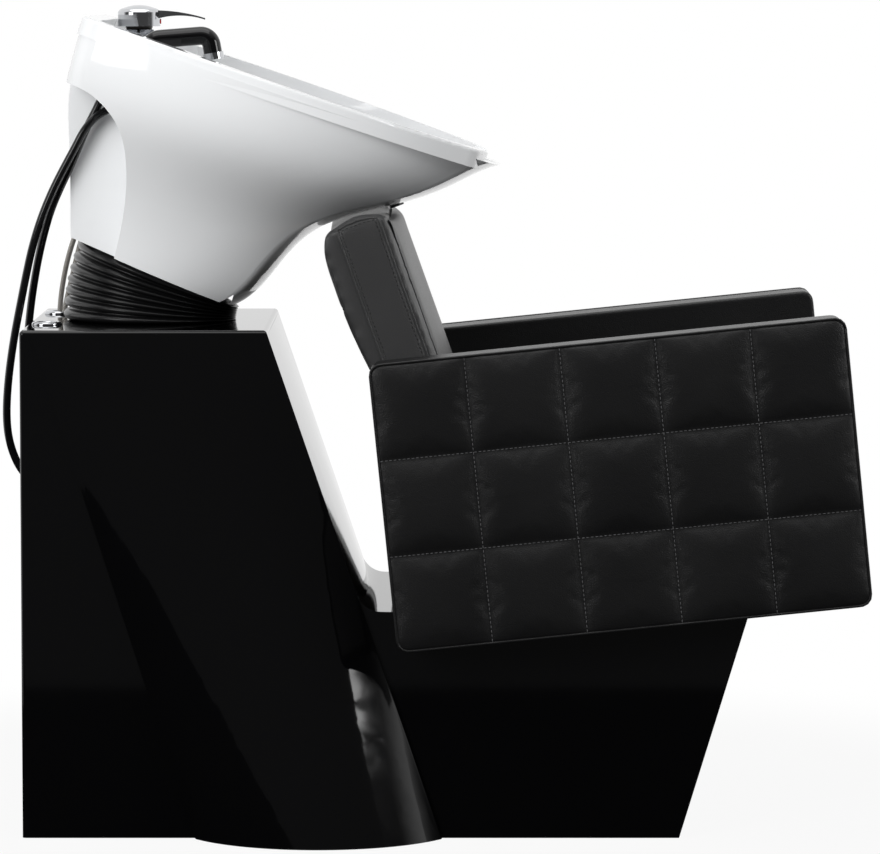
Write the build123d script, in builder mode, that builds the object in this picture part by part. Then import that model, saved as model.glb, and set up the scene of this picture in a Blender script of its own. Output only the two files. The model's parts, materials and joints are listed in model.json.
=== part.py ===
# Salon hair washing unit: gloss base, tilting ceramic basin and a quilted chair.
# Millimetres, +Z up, +X from the basin towards the sitter's feet.
# The origin is on the floor, in the middle of the base's footprint.
from build123d import *
import os
from math import cos, hypot, pi, radians, sin, sqrt, tan

os.makedirs("parts", exist_ok=True)

# Shared clearances
gap = 0.3
fit = 0.05
overrun = 4

# Base housing
base_length = 780
base_width = 410
base_height = 604
base_wall = 5
base_edge_round = 5
foot_overhang = 80
foot_front_height = 262
foot_rear_height = 271
pillar_top_length = 291
pillar_lean = 114
pillar_fillet = 30
column_rear_floor = 206
column_rear_top = 13
column_swell_floor = 78
column_swell_top = 2
column_step_floor = 8
column_step_top = 1
column_bow_floor = 9
column_bow_top = 1

# Service panel on the rear wall
panel_width = 260
panel_height = 300
panel_level = 70
panel_lap = 12
panel_thickness = 3

# Inner steel frame
tube = 30
tube_wall = 2
frame_side = 160
floor_plate_length = 700
floor_plate_width = 280
floor_plate_thickness = 4
anchor_spacing_x = 600
anchor_spacing_y = 200
anchor_radius = 6

# Basin
basin_tilt = 19
basin_rear_x = -314
basin_rear_rise = 370
basin_length = 528
basin_width = 500
basin_depth = 290
rim_height = 11
rim_round = 4
rim_shoulder = 20
basin_wall = 14
bowl_depth = 185
deck_drop = 18
deck_length = 125
deck_margin = 20
neck_radius = 75
neck_slope = 33
neck_sill = 9
skirt_depth = 81
column_half_width = 88

# Tilt joint
pivot_x = -166
pivot_rise = 67
axle_radius = 6
tilt_range = 19
bracket_steel = 4
bracket_half_width = 34
bracket_eye = 15
washer_thickness = 0.7

# Bellows
bellows_hinge_x = -102
bellows_angle = 23.85
bellows_reach = 250
bellows_near = 40
bellows_folds = 7
bellows_fold_depth = 9
bellows_wall = 1.2
bellows_ring_width = 6
bellows_ring_height = 5

# Drain
drain_x = 205
drain_radius = 19
drain_flange = 31
drain_thickness = 3
drain_nut = 27
drain_length = 72
strainer_radius = 17
waste_radius = 16
waste_bore = 13

# Mixer
mixer_x = -262
mixer_y = 60
mixer_pivot_rise = 358
mixer_radius = 24
mixer_collar_rise = 344
mixer_cone = 7
ball_radius = 17
cap_radius = 26
cap_rim_rise = 355
cap_top_rise = 381
lever_reach = 81
lever_width = 15
lever_thickness = 4
shank_radius = 14
shank_length = 28
shank_nut = 24

# Hand shower
shower_y = -100
shower_x = 82
shower_radius = 11
dock_radius = 17
dock_height = 6
cone_radius = 8
cone_length = 20
shower_rise = 15
shower_reach = 69
shower_drop = 21
spray_radius = 12.5
spray_height = 8

# Hoses
hose_radius = 4.8
hose_bore = 3
braid_radius = 3.2
grommet_ring_radius = 18
grommet_hole_radius = 12.5
grommet_ring_height = 4
grommet_x = -365
grommet_y = 100
wall_grommet_radius = 21
wall_grommet_hole = 17
wall_grommet_thickness = 3
wall_low_share = 0.1872
wall_high_share = 0.4325

# Chair
chair_rear_x = 57
chair_rear_z = 233
chair_pitch = 5.8
arm_length = 556
arm_height = 338
arm_corner = 13
arm_thickness = 75
arm_inner = 226
arm_band = 10
arm_columns = 5
arm_rows = 3
quilt_height = 8
quilt_border = 5
arm_board = 18
arm_liner = 12
seat_board_level = 47
seat_board_thickness = 18
seat_board_margin = 12
seat_thickness = 100
seat_crown = 12
seat_round = 16
seat_front_margin = 14
back_lean = 19.6
back_top_x = -16
back_top_rise = 120
back_thickness = 52
back_pad = 25
back_border = 9
back_crown = 7
back_dip = 16
back_dip_radius = 800
back_half_width = 222
back_channel = 100
back_cushion_half_width = 205
back_cushion_thickness = 13
back_cushion_drop = 10
back_board_half_width = 190
back_board = 15
riser_y = 110
riser_width = 40
riser_steel = 3
riser_rear_x = 70
riser_front_x = 440
riser_bolt_rear_x = 100
riser_bolt_front_x = 355
angle_leg = 34
angle_steel = 3
bolt_radius = 4
bolt_head_radius = 6.5
bolt_head_height = 5

# Derived places
basin_rear_z = base_height + basin_rear_rise
pivot_z = base_height + pivot_rise
back_top_z = base_height + back_top_rise
mixer_pivot_z = base_height + mixer_pivot_rise
mixer_collar_z = base_height + mixer_collar_rise
cap_rim_z = base_height + cap_rim_rise
cap_top_z = base_height + cap_top_rise
half_width = base_width / 2
rear_x = -base_length / 2
toe_x = base_length / 2
foot_front_x = toe_x + foot_overhang
pillar_top_x = rear_x + pillar_top_length
pillar_foot_x = pillar_top_x + pillar_lean
lean_ratio = pillar_lean / (base_height - foot_rear_height)
column_floor_x = pillar_foot_x + lean_ratio * foot_rear_height
column_top = base_height - base_edge_round
ear_inner = bracket_half_width - bracket_steel
upper_ear = bracket_half_width + washer_thickness + gap
arm_outer = arm_inner + arm_thickness

tilt_cos = cos(radians(basin_tilt))
tilt_sin = sin(radians(basin_tilt))
basin_plane = Plane(
    origin=(basin_rear_x, 0, basin_rear_z),
    x_dir=(tilt_cos, 0, -tilt_sin),
    z_dir=(tilt_sin, 0, tilt_cos),
)
basin_side = Plane(
    origin=(basin_rear_x, 0, basin_rear_z),
    x_dir=(tilt_cos, 0, -tilt_sin),
    z_dir=(0, -1, 0),
)
pitch_cos = cos(radians(chair_pitch))
pitch_sin = sin(radians(chair_pitch))
chair_side = Plane(
    origin=(chair_rear_x, 0, chair_rear_z),
    x_dir=(pitch_cos, 0, pitch_sin),
    z_dir=(0, -1, 0),
)
lean_cos = cos(radians(back_lean))
lean_sin = sin(radians(back_lean))
# x_dir of the backrest's side plane points forward through its thickness, y_dir up along it
back_side = Plane(
    origin=(back_top_x, 0, back_top_z),
    x_dir=(lean_cos, 0, lean_sin),
    z_dir=(0, -1, 0),
)
back_face = Plane(
    origin=(back_top_x, 0, back_top_z),
    x_dir=(0, 1, 0),
    z_dir=(lean_cos, 0, lean_sin),
)


def basin_world(x, y, z):
    return (
        basin_rear_x + x * tilt_cos + z * tilt_sin,
        y,
        basin_rear_z - x * tilt_sin + z * tilt_cos,
    )


def basin_local(x, z):
    dx = x - basin_rear_x
    dz = z - basin_rear_z
    return (dx * tilt_cos - dz * tilt_sin, dx * tilt_sin + dz * tilt_cos)


def chair_world(u, v):
    return (
        chair_rear_x + u * pitch_cos - v * pitch_sin,
        chair_rear_z + u * pitch_sin + v * pitch_cos,
    )


def chair_local(x, z):
    dx = x - chair_rear_x
    dz = z - chair_rear_z
    return (dx * pitch_cos + dz * pitch_sin, dz * pitch_cos - dx * pitch_sin)


def back_world(n, t):
    return (
        back_top_x + n * lean_cos - t * lean_sin,
        back_top_z + n * lean_sin + t * lean_cos,
    )


def foot_height_at(x):
    slope = (foot_front_height - foot_rear_height) / (foot_front_x - pillar_foot_x)
    return foot_rear_height + slope * (x - pillar_foot_x)


foot_slope = (foot_front_height - foot_rear_height) / (foot_front_x - pillar_foot_x)
foot_plane = Plane(
    origin=(pillar_foot_x, 0, foot_rear_height),
    x_dir=(1, 0, foot_slope),
    z_dir=(-foot_slope, 0, 1),
)
riser_bolt_places = [
    ((x - pillar_foot_x) * hypot(1, foot_slope), side * riser_y)
    for x in (riser_bolt_rear_x, riser_bolt_front_x)
    for side in (-1, 1)
]


def fan_plane(angle):
    angle_cos = cos(radians(angle))
    angle_sin = sin(radians(angle))
    return Plane(
        origin=(bellows_hinge_x, 0, base_height),
        x_dir=(0, 1, 0),
        z_dir=(angle_sin, 0, angle_cos),
    )


def save(node, label):
    node.part.label = label
    export_step(node.part, f"parts/{label}.step")


# Base housing: a prism with the foot, and a leaning column that swells towards the floor
def column_outline(level, rear, front, reach, swell, bow):
    with BuildSketch(Plane.XY.offset(level)) as outline:
        with BuildLine():
            middle = (rear + front) / 2
            ThreePointArc((rear, -reach), (middle, -reach - swell), (front, -reach))
            ThreePointArc((front, -reach), (front + bow, 0), (front, reach))
            ThreePointArc((front, reach), (middle, reach + swell), (rear, reach))
            Line((rear, reach), (rear, -reach))
        make_face()
    return outline.sketch.faces()[0]


def housing_form(wall):
    with BuildPart() as form:
        with BuildSketch(Plane.XZ) as side:
            with BuildLine():
                Polyline(
                    (rear_x, 0),
                    (toe_x, 0),
                    (foot_front_x, foot_front_height),
                    (pillar_foot_x, foot_rear_height),
                    (pillar_top_x, base_height),
                    (rear_x, base_height),
                    close=True,
                )
            make_face()
            corner = side.vertices().sort_by_distance((pillar_foot_x, 0, foot_rear_height))[0]
            fillet(corner, radius=pillar_fillet)
            if wall:
                offset(amount=-wall, kind=Kind.INTERSECTION)
        extrude(amount=half_width - wall, both=True)
        if wall:
            extrude(form.faces().sort_by(Axis.Z)[0], amount=wall + overrun)
        else:
            fillet(form.edges().filter_by(Axis.Z).group_by(Axis.X)[0], radius=base_edge_round)
            fillet(form.faces().sort_by(Axis.Z)[-1].edges(), radius=base_edge_round)
    floor_level = -overrun if wall else 0
    floor_outline = column_outline(
        floor_level,
        rear_x + column_rear_floor + wall,
        column_floor_x - wall,
        half_width + column_step_floor - wall,
        column_swell_floor,
        column_bow_floor,
    )
    top_outline = column_outline(
        column_top - wall,
        rear_x + column_rear_top + wall,
        pillar_top_x - wall + lean_ratio * base_edge_round,
        half_width + column_step_top - wall,
        column_swell_top,
        column_bow_top,
    )
    with BuildPart() as column:
        loft([floor_outline, top_outline], ruled=True)
    with BuildPart() as whole:
        add(form.part)
        add(column.part)
    return whole.part


housing_outer = housing_form(0)
housing_inner = housing_form(base_wall)
waste_hole = drain_radius * 1.3
panel_middle = panel_level + panel_height / 2
panel_top = panel_level + panel_height
wall_space = base_height - panel_top
wall_low = (-59.4, panel_top + wall_space * wall_low_share)
wall_high = (22, panel_top + wall_space * wall_high_share)
wall_hoses = {wall_low: (0.7, -0.71), wall_high: (0.68, -0.73)}
with BuildPart() as base_shell:
    add(housing_outer)
    add(housing_inner, mode=Mode.SUBTRACT)
    with BuildSketch(Plane.XY.offset(base_height + overrun)):
        with Locations((grommet_x, grommet_y), (grommet_x, -grommet_y)):
            Circle(grommet_hole_radius)
        with Locations((basin_world(drain_x, 0, -basin_depth)[0], 0)):
            Circle(waste_hole)
    extrude(amount=-base_wall - 2 * overrun, mode=Mode.SUBTRACT)
    with BuildSketch(Plane.YZ.offset(rear_x - overrun)):
        with Locations(*wall_hoses):
            Circle(wall_grommet_hole)
        with Locations((0, panel_middle)):
            Rectangle(panel_width - 2 * panel_lap, panel_height - 2 * panel_lap)
    extrude(amount=base_wall + 2 * overrun, mode=Mode.SUBTRACT)
    with BuildSketch(foot_plane.offset(overrun)):
        with Locations(*riser_bolt_places):
            Circle(bolt_radius + gap)
    extrude(amount=-base_wall - 2 * overrun, mode=Mode.SUBTRACT)
save(base_shell, "base_shell")

screw_y = panel_width / 2 - panel_lap / 2
screw_z = panel_height / 2 - panel_lap / 2
screw_radius = 2
screw_head = 4
with BuildPart() as service_panel:
    with BuildSketch(Plane.YZ.offset(rear_x)):
        with Locations((0, panel_middle)):
            RectangleRounded(panel_width, panel_height, panel_lap)
    extrude(amount=-panel_thickness)
    with BuildSketch(Plane.YZ.offset(rear_x)):
        with Locations((0, panel_middle)):
            with GridLocations(2 * screw_y, 2 * screw_z, 2, 2):
                Circle(screw_radius + gap)
    extrude(amount=-panel_thickness - overrun, mode=Mode.SUBTRACT)
save(service_panel, "service_panel")

with BuildPart() as panel_screws:
    with BuildSketch(Plane.YZ.offset(rear_x - panel_thickness)):
        with Locations((0, panel_middle)):
            with GridLocations(2 * screw_y, 2 * screw_z, 2, 2):
                Circle(screw_head)
    extrude(amount=-screw_radius)
    with BuildSketch(Plane.YZ.offset(rear_x - panel_thickness)):
        with Locations((0, panel_middle)):
            with GridLocations(2 * screw_y, 2 * screw_z, 2, 2):
                Circle(screw_radius)
    extrude(amount=panel_thickness)
save(panel_screws, "panel_screws")

# Inner steel frame and its floor plate
with BuildPart() as floor_plate:
    with BuildSketch():
        RectangleRounded(floor_plate_length, floor_plate_width, tube / 2)
        with GridLocations(anchor_spacing_x, anchor_spacing_y, 2, 2):
            Circle(anchor_radius, mode=Mode.SUBTRACT)
    extrude(amount=floor_plate_thickness)
save(floor_plate, "floor_plate")

rail_y = frame_side - tube
rail_level = floor_plate_thickness + tube / 2
post_rear_x = rear_x + 2 * tube
post_front_x = pillar_top_x - base_wall - tube
beam_level = base_height - base_wall - tube / 2
rail_length = riser_bolt_front_x - post_rear_x + tube
rail_middle = (riser_bolt_front_x + post_rear_x) / 2
posts = {post_rear_x: beam_level, post_front_x: beam_level}
for bolt_x in (riser_bolt_rear_x, riser_bolt_front_x):
    posts[bolt_x] = foot_height_at(bolt_x + tube / 2) - base_wall - gap - tube / 2
frame_bars = [("X", rail_length, (rail_middle, side * rail_y, rail_level)) for side in (-1, 1)]
for post_x, level in posts.items():
    for side in (-1, 1):
        height = level - rail_level
        frame_bars.append(("Z", height, (post_x, side * rail_y, rail_level + height / 2)))
    frame_bars.append(("Y", 2 * rail_y + tube, (post_x, 0, level)))
for post_x in (post_rear_x, post_front_x):
    frame_bars.append(("Y", 2 * rail_y, (post_x, 0, rail_level)))


def bar_size(axis, length, cross):
    return [length if name == axis else cross for name in "XYZ"]


with BuildPart() as inner_frame:
    for axis, length, middle in frame_bars:
        with Locations(middle):
            Box(*bar_size(axis, length, tube))
    for axis, length, middle in frame_bars:
        inner_length = length + (overrun if axis == "X" else -2 * tube_wall)
        with Locations(middle):
            Box(*bar_size(axis, inner_length, tube - 2 * tube_wall), mode=Mode.SUBTRACT)
    with BuildSketch(foot_plane):
        with Locations(*riser_bolt_places):
            Circle(bolt_radius + gap)
    extrude(amount=-base_wall - 2 * gap - 2 * tube_wall, mode=Mode.SUBTRACT)
save(inner_frame, "inner_frame")


# Grommets for the hoses: two bright rings on top and two rubber ones in the rear wall
def ring_grommet(y):
    with BuildPart() as grommet:
        with BuildSketch(Plane.XZ):
            with BuildLine():
                inner = grommet_hole_radius - fit
                outer = grommet_ring_radius
                top = base_height + grommet_ring_height
                bore = inner - bellows_wall
                Polyline(
                    (bore, base_height - base_wall),
                    (inner, base_height - base_wall),
                    (inner, base_height),
                    (outer, base_height),
                )
                ThreePointArc(
                    (outer, base_height),
                    ((outer + bore) / 2, top),
                    (bore, base_height),
                )
                Line((bore, base_height), (bore, base_height - base_wall))
            make_face()
        revolve(axis=Axis.Z)
    with BuildPart() as placed:
        with Locations((grommet_x, y, 0)):
            add(grommet.part)
    return placed


save(ring_grommet(grommet_y), "ring_grommet_left")
save(ring_grommet(-grommet_y), "ring_grommet_right")

with BuildPart() as wall_grommets:
    with BuildSketch(Plane.YZ.offset(rear_x)):
        with Locations(*wall_hoses):
            Circle(wall_grommet_radius)
    extrude(amount=-wall_grommet_thickness)
    with BuildSketch(Plane.YZ.offset(rear_x)):
        with Locations(*wall_hoses):
            Circle(wall_grommet_hole - fit)
    extrude(amount=base_wall)
    for (hole_y, hole_z), (run_x, run_z) in wall_hoses.items():
        with BuildSketch(Plane(origin=(rear_x, hole_y, hole_z), z_dir=(run_x, 0, run_z))):
            Circle(hose_radius + 6 * gap)
        extrude(amount=2 * wall_grommet_radius, both=True, mode=Mode.SUBTRACT)
save(wall_grommets, "wall_grommets")

# Lower tilt bracket on the base top, axle, nut and friction washers
plate_rear_x = -306
plate_front_x = -184
plate_half_width = 58
with BuildPart() as tilt_bracket_lower:
    with BuildSketch(Plane.XY.offset(base_height)):
        with Locations(((plate_rear_x + plate_front_x) / 2, 0)):
            Rectangle(plate_front_x - plate_rear_x, 2 * plate_half_width)
        with Locations((basin_world(drain_x, 0, -basin_depth)[0], 0)):
            Circle(waste_hole, mode=Mode.SUBTRACT)
    extrude(amount=bracket_steel)
    for side in (-1, 1):
        ear_plane = Plane.XZ.offset(side * (ear_inner + bracket_steel / 2))
        with BuildSketch(ear_plane):
            with BuildLine():
                Polyline(
                    (plate_front_x - 2 * bracket_eye, base_height),
                    (plate_front_x, base_height),
                    (pivot_x + bracket_eye, pivot_z),
                    (pivot_x - bracket_eye, pivot_z),
                    close=True,
                )
            make_face()
            with Locations((pivot_x, pivot_z)):
                Circle(bracket_eye)
                Circle(axle_radius + fit, mode=Mode.SUBTRACT)
        extrude(amount=bracket_steel / 2, both=True)
save(tilt_bracket_lower, "tilt_bracket_lower")

bracket_bolt_inset = 12
with BuildPart() as bracket_bolts:
    with BuildSketch(Plane.XY.offset(base_height + bracket_steel)):
        with Locations(((plate_rear_x + plate_front_x) / 2, 0)):
            with GridLocations(
                plate_front_x - plate_rear_x - 2 * bracket_bolt_inset,
                2 * (plate_half_width - bracket_bolt_inset),
                2,
                2,
            ):
                RegularPolygon(bolt_head_radius, 6)
    extrude(amount=bolt_head_height)
save(bracket_bolts, "bracket_bolts")

axle_end = upper_ear + bracket_steel + gap
with BuildPart() as tilt_axle:
    with BuildSketch(Plane.XZ.offset(-axle_end)):
        with Locations((pivot_x, pivot_z)):
            Circle(axle_radius)
    extrude(amount=2 * axle_end + bolt_head_height)
    with BuildSketch(Plane.XZ.offset(-axle_end - bolt_head_height)):
        with Locations((pivot_x, pivot_z)):
            Circle(axle_radius * 1.6)
    extrude(amount=bolt_head_height)
save(tilt_axle, "tilt_axle")

with BuildPart() as axle_nut:
    with BuildSketch(Plane.XZ.offset(axle_end)):
        with Locations((pivot_x, pivot_z)):
            RegularPolygon(axle_radius * 1.6, 6)
            Circle(axle_radius + fit, mode=Mode.SUBTRACT)
    extrude(amount=bolt_head_height)
save(axle_nut, "axle_nut")

with BuildPart() as friction_washers:
    for start in (bracket_half_width, -bracket_half_width - washer_thickness):
        with BuildSketch(Plane.XZ.offset(start)):
            with Locations((pivot_x, pivot_z)):
                Circle(bracket_eye)
                Circle(axle_radius + fit, mode=Mode.SUBTRACT)
        extrude(amount=washer_thickness)
save(friction_washers, "friction_washers")

# Bellows: folds that fan out about a line at the base top, stretched at the rear
bellows_middle = (bellows_reach + bellows_near) / 2
bellows_radius = (bellows_reach - bellows_near) / 2


def bellows_skin(shrink, first, last):
    circles = []
    steps = 3 * bellows_folds
    for step in range(steps + 1):
        angle = first + (last - first) * step / steps
        valley = step % 3 == 0
        radius = bellows_radius - (bellows_fold_depth if valley else 0) - shrink
        with BuildSketch(fan_plane(angle)) as circle:
            with Locations((0, bellows_middle)):
                Circle(radius)
        circles.append(circle.sketch.faces()[0])
    return circles


outer_circles = bellows_skin(0, 0, bellows_angle)
inner_circles = bellows_skin(bellows_wall, 0, bellows_angle)
with BuildPart() as bellows_bore:
    loft(inner_circles, ruled=True)
with BuildPart() as bellows:
    loft(outer_circles, ruled=True)
    add(bellows_bore.part, mode=Mode.SUBTRACT)
save(bellows, "bellows")

ring_outer = bellows_radius - bellows_fold_depth - bellows_wall - gap
with BuildPart() as bellows_ring_base:
    with BuildSketch(fan_plane(0)):
        with Locations((0, bellows_middle)):
            Circle(ring_outer)
            Circle(ring_outer - bellows_ring_width, mode=Mode.SUBTRACT)
    extrude(amount=bellows_ring_height)
save(bellows_ring_base, "bellows_ring_base")

with BuildPart() as bellows_ring_basin:
    with BuildSketch(fan_plane(bellows_angle).offset(gap)):
        with Locations((0, bellows_middle)):
            Circle(ring_outer - bellows_wall)
            Circle(ring_outer - bellows_ring_width, mode=Mode.SUBTRACT)
    extrude(amount=-bellows_ring_height)
save(bellows_ring_basin, "bellows_ring_basin")


# Basin: lofted sections below the rim, as shares of its depth, length and half width:
# depth, rear, front, half width at the rear, at the widest and at the front
body_shares = [
    (0.038, 0.002, 0.996, 0.820, 1.000, 0.400),
    (0.220, 0.008, 0.885, 0.790, 0.965, 0.388),
    (0.380, 0.023, 0.761, 0.700, 0.860, 0.370),
    (0.530, 0.053, 0.652, 0.580, 0.700, 0.345),
    (0.690, 0.085, 0.598, 0.490, 0.570, 0.330),
    (0.860, 0.117, 0.562, 0.440, 0.490, 0.320),
    (1.000, 0.145, 0.490, 0.400, 0.440, 0.300),
]
bowl_shares = [
    (-0.020, 0.237, 0.955, 0.700, 0.905, 0.300),
    (0.172, 0.240, 0.856, 0.670, 0.880, 0.300),
    (0.345, 0.252, 0.733, 0.570, 0.760, 0.280),
    (0.517, 0.276, 0.618, 0.430, 0.580, 0.240),
    (0.638, 0.318, 0.520, 0.250, 0.340, 0.180),
]
widest_share = 0.45
corner_share = 0.17
front_bow_share = 0.03


def basin_outline(shares):
    depth, rear, front, rear_half, wide_half, front_half = shares
    x_rear = rear * basin_length
    x_front = front * basin_length
    x_wide = x_rear + widest_share * (x_front - x_rear)
    y_rear = rear_half * basin_width / 2
    y_wide = wide_half * basin_width / 2
    y_front = front_half * basin_width / 2
    x_corner = x_front - front_bow_share * basin_length
    with BuildSketch(basin_plane.offset(-depth * basin_depth)) as outline:
        with BuildLine():
            Line((x_rear, y_rear), (x_rear, -y_rear))
            ThreePointArc((x_rear, -y_rear), (x_wide, -y_wide), (x_corner, -y_front))
            ThreePointArc((x_corner, -y_front), (x_front, 0), (x_corner, y_front))
            ThreePointArc((x_corner, y_front), (x_wide, y_wide), (x_rear, y_rear))
        make_face()
        fillet(outline.vertices(), radius=corner_share * wide_half * basin_width / 2)
    return outline.sketch.faces()[0]


body_sections = [basin_outline(shares) for shares in body_shares]
bowl_sections = [basin_outline(shares) for shares in bowl_shares]
rim_outline = basin_outline((0, 0, (basin_length - rim_shoulder) / basin_length, 0.82, 1.0, 0.5))
with BuildPart() as bowl_space:
    loft(bowl_sections)
with BuildPart() as rim_slab:
    extrude(rim_outline, amount=rim_height * 2, dir=(-tilt_sin, 0, -tilt_cos))
    rim_face = rim_slab.faces().sort_by(Axis((0, 0, 0), (tilt_sin, 0, tilt_cos)))[-1]
    fillet(rim_face.edges(), radius=rim_round)

bottom_plane = fan_plane(bellows_angle).offset(gap)
# Rear edge of the side walls, as shares of the basin's length and depth
recess_width_share = 0.66
cavity_front_share = 0.515
deck_width_share = 0.72
hollow_width_share = 0.74
recess_shares = [(0.030, 0.279), (0.127, 0.334), (0.161, 0.390), (0.197, 0.517), (0.228, 0.776), (0.243, 1.1)]
recess_points = [(x * basin_length, -z * basin_depth) for x, z in recess_shares]
recess_floor = recess_points[-1][1]
hollow_front = deck_length - basin_wall
hollow_top = deck_drop + basin_wall
recess_half_width = recess_width_share * basin_width / 2
column_hollow = column_half_width - 2 * basin_wall
cavity_top = bowl_depth + basin_wall
cavity_front = cavity_front_share * basin_length
cavity_rear = deck_length + basin_wall
cavity_half_width = 80
shank_x = (mixer_x - basin_rear_x + deck_drop * tilt_sin) / tilt_cos
neck_cos = cos(radians(neck_slope))
neck_sin = sin(radians(neck_slope))
neck_tip_x = basin_length - 5
neck_centre = basin_world(neck_tip_x - neck_radius * neck_sin, 0, -neck_sill + neck_radius * neck_cos)
neck_plane = Plane(
    origin=neck_centre,
    x_dir=(0, 1, 0),
    z_dir=(neck_cos * tilt_cos + neck_sin * tilt_sin, 0, neck_sin * tilt_cos - neck_cos * tilt_sin),
)
with BuildPart() as basin:
    loft(body_sections)
    add(rim_slab.part)
    add(bowl_space.part, mode=Mode.SUBTRACT)
    deck_middle = (deck_margin + deck_length + overrun) / 2
    with BuildSketch(basin_plane.offset(overrun)):
        with Locations((deck_middle, 0)):
            RectangleRounded(
                deck_length + overrun - deck_margin,
                deck_width_share * basin_width,
                deck_margin,
            )
    extrude(amount=-deck_drop - overrun, mode=Mode.SUBTRACT)
    with BuildSketch(neck_plane):
        Circle(neck_radius)
    extrude(amount=neck_radius, both=True, mode=Mode.SUBTRACT)
    with BuildSketch(basin_plane.offset(-skirt_depth)):
        with Locations(((basin_wall + hollow_front) / 2, 0)):
            RectangleRounded(hollow_front - basin_wall, hollow_width_share * basin_width, basin_wall)
    extrude(amount=skirt_depth - hollow_top, mode=Mode.SUBTRACT)
    for side in (-1, 1):
        with BuildSketch(basin_side.offset(side * column_half_width)):
            with BuildLine():
                start = (-deck_length, recess_points[0][1])
                Line(start, recess_points[0])
                Spline(*recess_points)
                Polyline(recess_points[-1], (-deck_length, recess_floor), start)
            make_face()
        extrude(amount=side * basin_width / 2, mode=Mode.SUBTRACT)
        with BuildSketch(basin_side.offset(side * column_half_width)):
            with BuildLine():
                Polyline(
                    (basin_wall, -skirt_depth + overrun),
                    (hollow_front, -skirt_depth + overrun),
                    (hollow_front, -skirt_depth - 3 * basin_wall),
                    (basin_wall, -skirt_depth - 3 * basin_wall),
                    close=True,
                )
            make_face()
        extrude(amount=side * (recess_half_width - column_half_width), mode=Mode.SUBTRACT)
    with BuildSketch(basin_side.offset(-column_hollow)):
        with BuildLine():
            Polyline(
                (shank_x - basin_wall, -skirt_depth + overrun),
                (shank_x + 1.5 * basin_wall, -skirt_depth + overrun),
                (shank_x + 1.5 * basin_wall, -skirt_depth - 5 * basin_wall),
                (shank_x - basin_wall, -skirt_depth - 5 * basin_wall),
                close=True,
            )
        make_face()
    extrude(amount=-column_half_width + column_hollow - overrun, mode=Mode.SUBTRACT)
    with BuildSketch(basin_side):
        with BuildLine():
            Polyline(
                (2 * basin_wall, -skirt_depth + overrun),
                (deck_length - basin_wall, -skirt_depth + overrun),
                (cavity_rear + overrun, -cavity_top),
                (cavity_rear + overrun, recess_floor),
                (6.5 * basin_wall, recess_floor),
                close=True,
            )
        make_face()
    extrude(amount=column_hollow, both=True, mode=Mode.SUBTRACT)
    with BuildSketch(basin_plane.offset(-cavity_top)):
        with Locations(((cavity_rear + cavity_front) / 2, 0)):
            Rectangle(cavity_front - cavity_rear, 2 * cavity_half_width)
    extrude(amount=-basin_depth, mode=Mode.SUBTRACT)
    with BuildSketch(basin_plane):
        with Locations((drain_x, 0)):
            Circle(drain_radius + gap)
    extrude(amount=-cavity_top - overrun, mode=Mode.SUBTRACT)
    with BuildSketch(basin_plane):
        with Locations((shank_x, mixer_y)):
            Circle(shank_radius + gap)
        with Locations((shower_x, shower_y)):
            Circle(shower_radius + 2 * gap)
    extrude(amount=-hollow_top - overrun, mode=Mode.SUBTRACT)
    split(bisect_by=bottom_plane, keep=Keep.TOP)
save(basin, "basin")

# Upper tilt bracket, bolted under the bowl
pivot_local = basin_local(pivot_x, pivot_z)
upper_plate_rear = drain_x - 2 * drain_radius
upper_plate_front = cavity_front - overrun
with BuildPart() as tilt_bracket_upper:
    with BuildSketch(basin_plane.offset(-cavity_top)):
        with Locations(((upper_plate_rear + upper_plate_front) / 2, 0)):
            Rectangle(upper_plate_front - upper_plate_rear, 2 * cavity_half_width - 2 * overrun)
        with Locations((drain_x, 0)):
            Circle(drain_nut + gap, mode=Mode.SUBTRACT)
    extrude(amount=-bracket_steel)
    for side in (-1, 1):
        with BuildSketch(basin_side.offset(side * (upper_ear + bracket_steel / 2))):
            with BuildLine():
                Polyline(
                    (pivot_local[0] - 2 * bracket_eye, -cavity_top),
                    (upper_plate_front, -cavity_top),
                    (pivot_local[0] + bracket_eye, pivot_local[1]),
                    (pivot_local[0] - bracket_eye, pivot_local[1]),
                    close=True,
                )
            make_face()
            with Locations(pivot_local):
                Circle(bracket_eye)
                Circle(axle_radius + fit, mode=Mode.SUBTRACT)
        extrude(amount=bracket_steel / 2, both=True)
save(tilt_bracket_upper, "tilt_bracket_upper")

upper_bolt_y = cavity_half_width - 3 * bolt_head_radius
with BuildPart() as basin_bolts:
    with BuildSketch(basin_plane.offset(-cavity_top - bracket_steel)):
        with Locations(((upper_plate_rear + upper_plate_front) / 2, 0)):
            with GridLocations(
                upper_plate_front - upper_plate_rear - 4 * bolt_head_radius,
                2 * upper_bolt_y,
                2,
                2,
            ):
                RegularPolygon(bolt_head_radius, 6)
    extrude(amount=-bolt_head_height)
save(basin_bolts, "basin_bolts")

# Waste fitting: flange in the bowl, tail, nut, hair strainer and the hose below
with BuildPart() as drain:
    with BuildSketch(basin_plane.offset(-bowl_depth)):
        with Locations((drain_x, 0)):
            Circle(drain_flange)
            Circle(strainer_radius, mode=Mode.SUBTRACT)
    extrude(amount=drain_thickness)
    with BuildSketch(basin_plane.offset(-bowl_depth)):
        with Locations((drain_x, 0)):
            Circle(drain_radius)
            Circle(strainer_radius, mode=Mode.SUBTRACT)
    extrude(amount=-drain_length)
save(drain, "drain")

with BuildPart() as drain_locknut:
    with BuildSketch(basin_plane.offset(-cavity_top)):
        with Locations((drain_x, 0)):
            RegularPolygon(drain_nut, 8)
            Circle(drain_radius + fit, mode=Mode.SUBTRACT)
    extrude(amount=-2 * bracket_steel)
save(drain_locknut, "drain_locknut")

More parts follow.
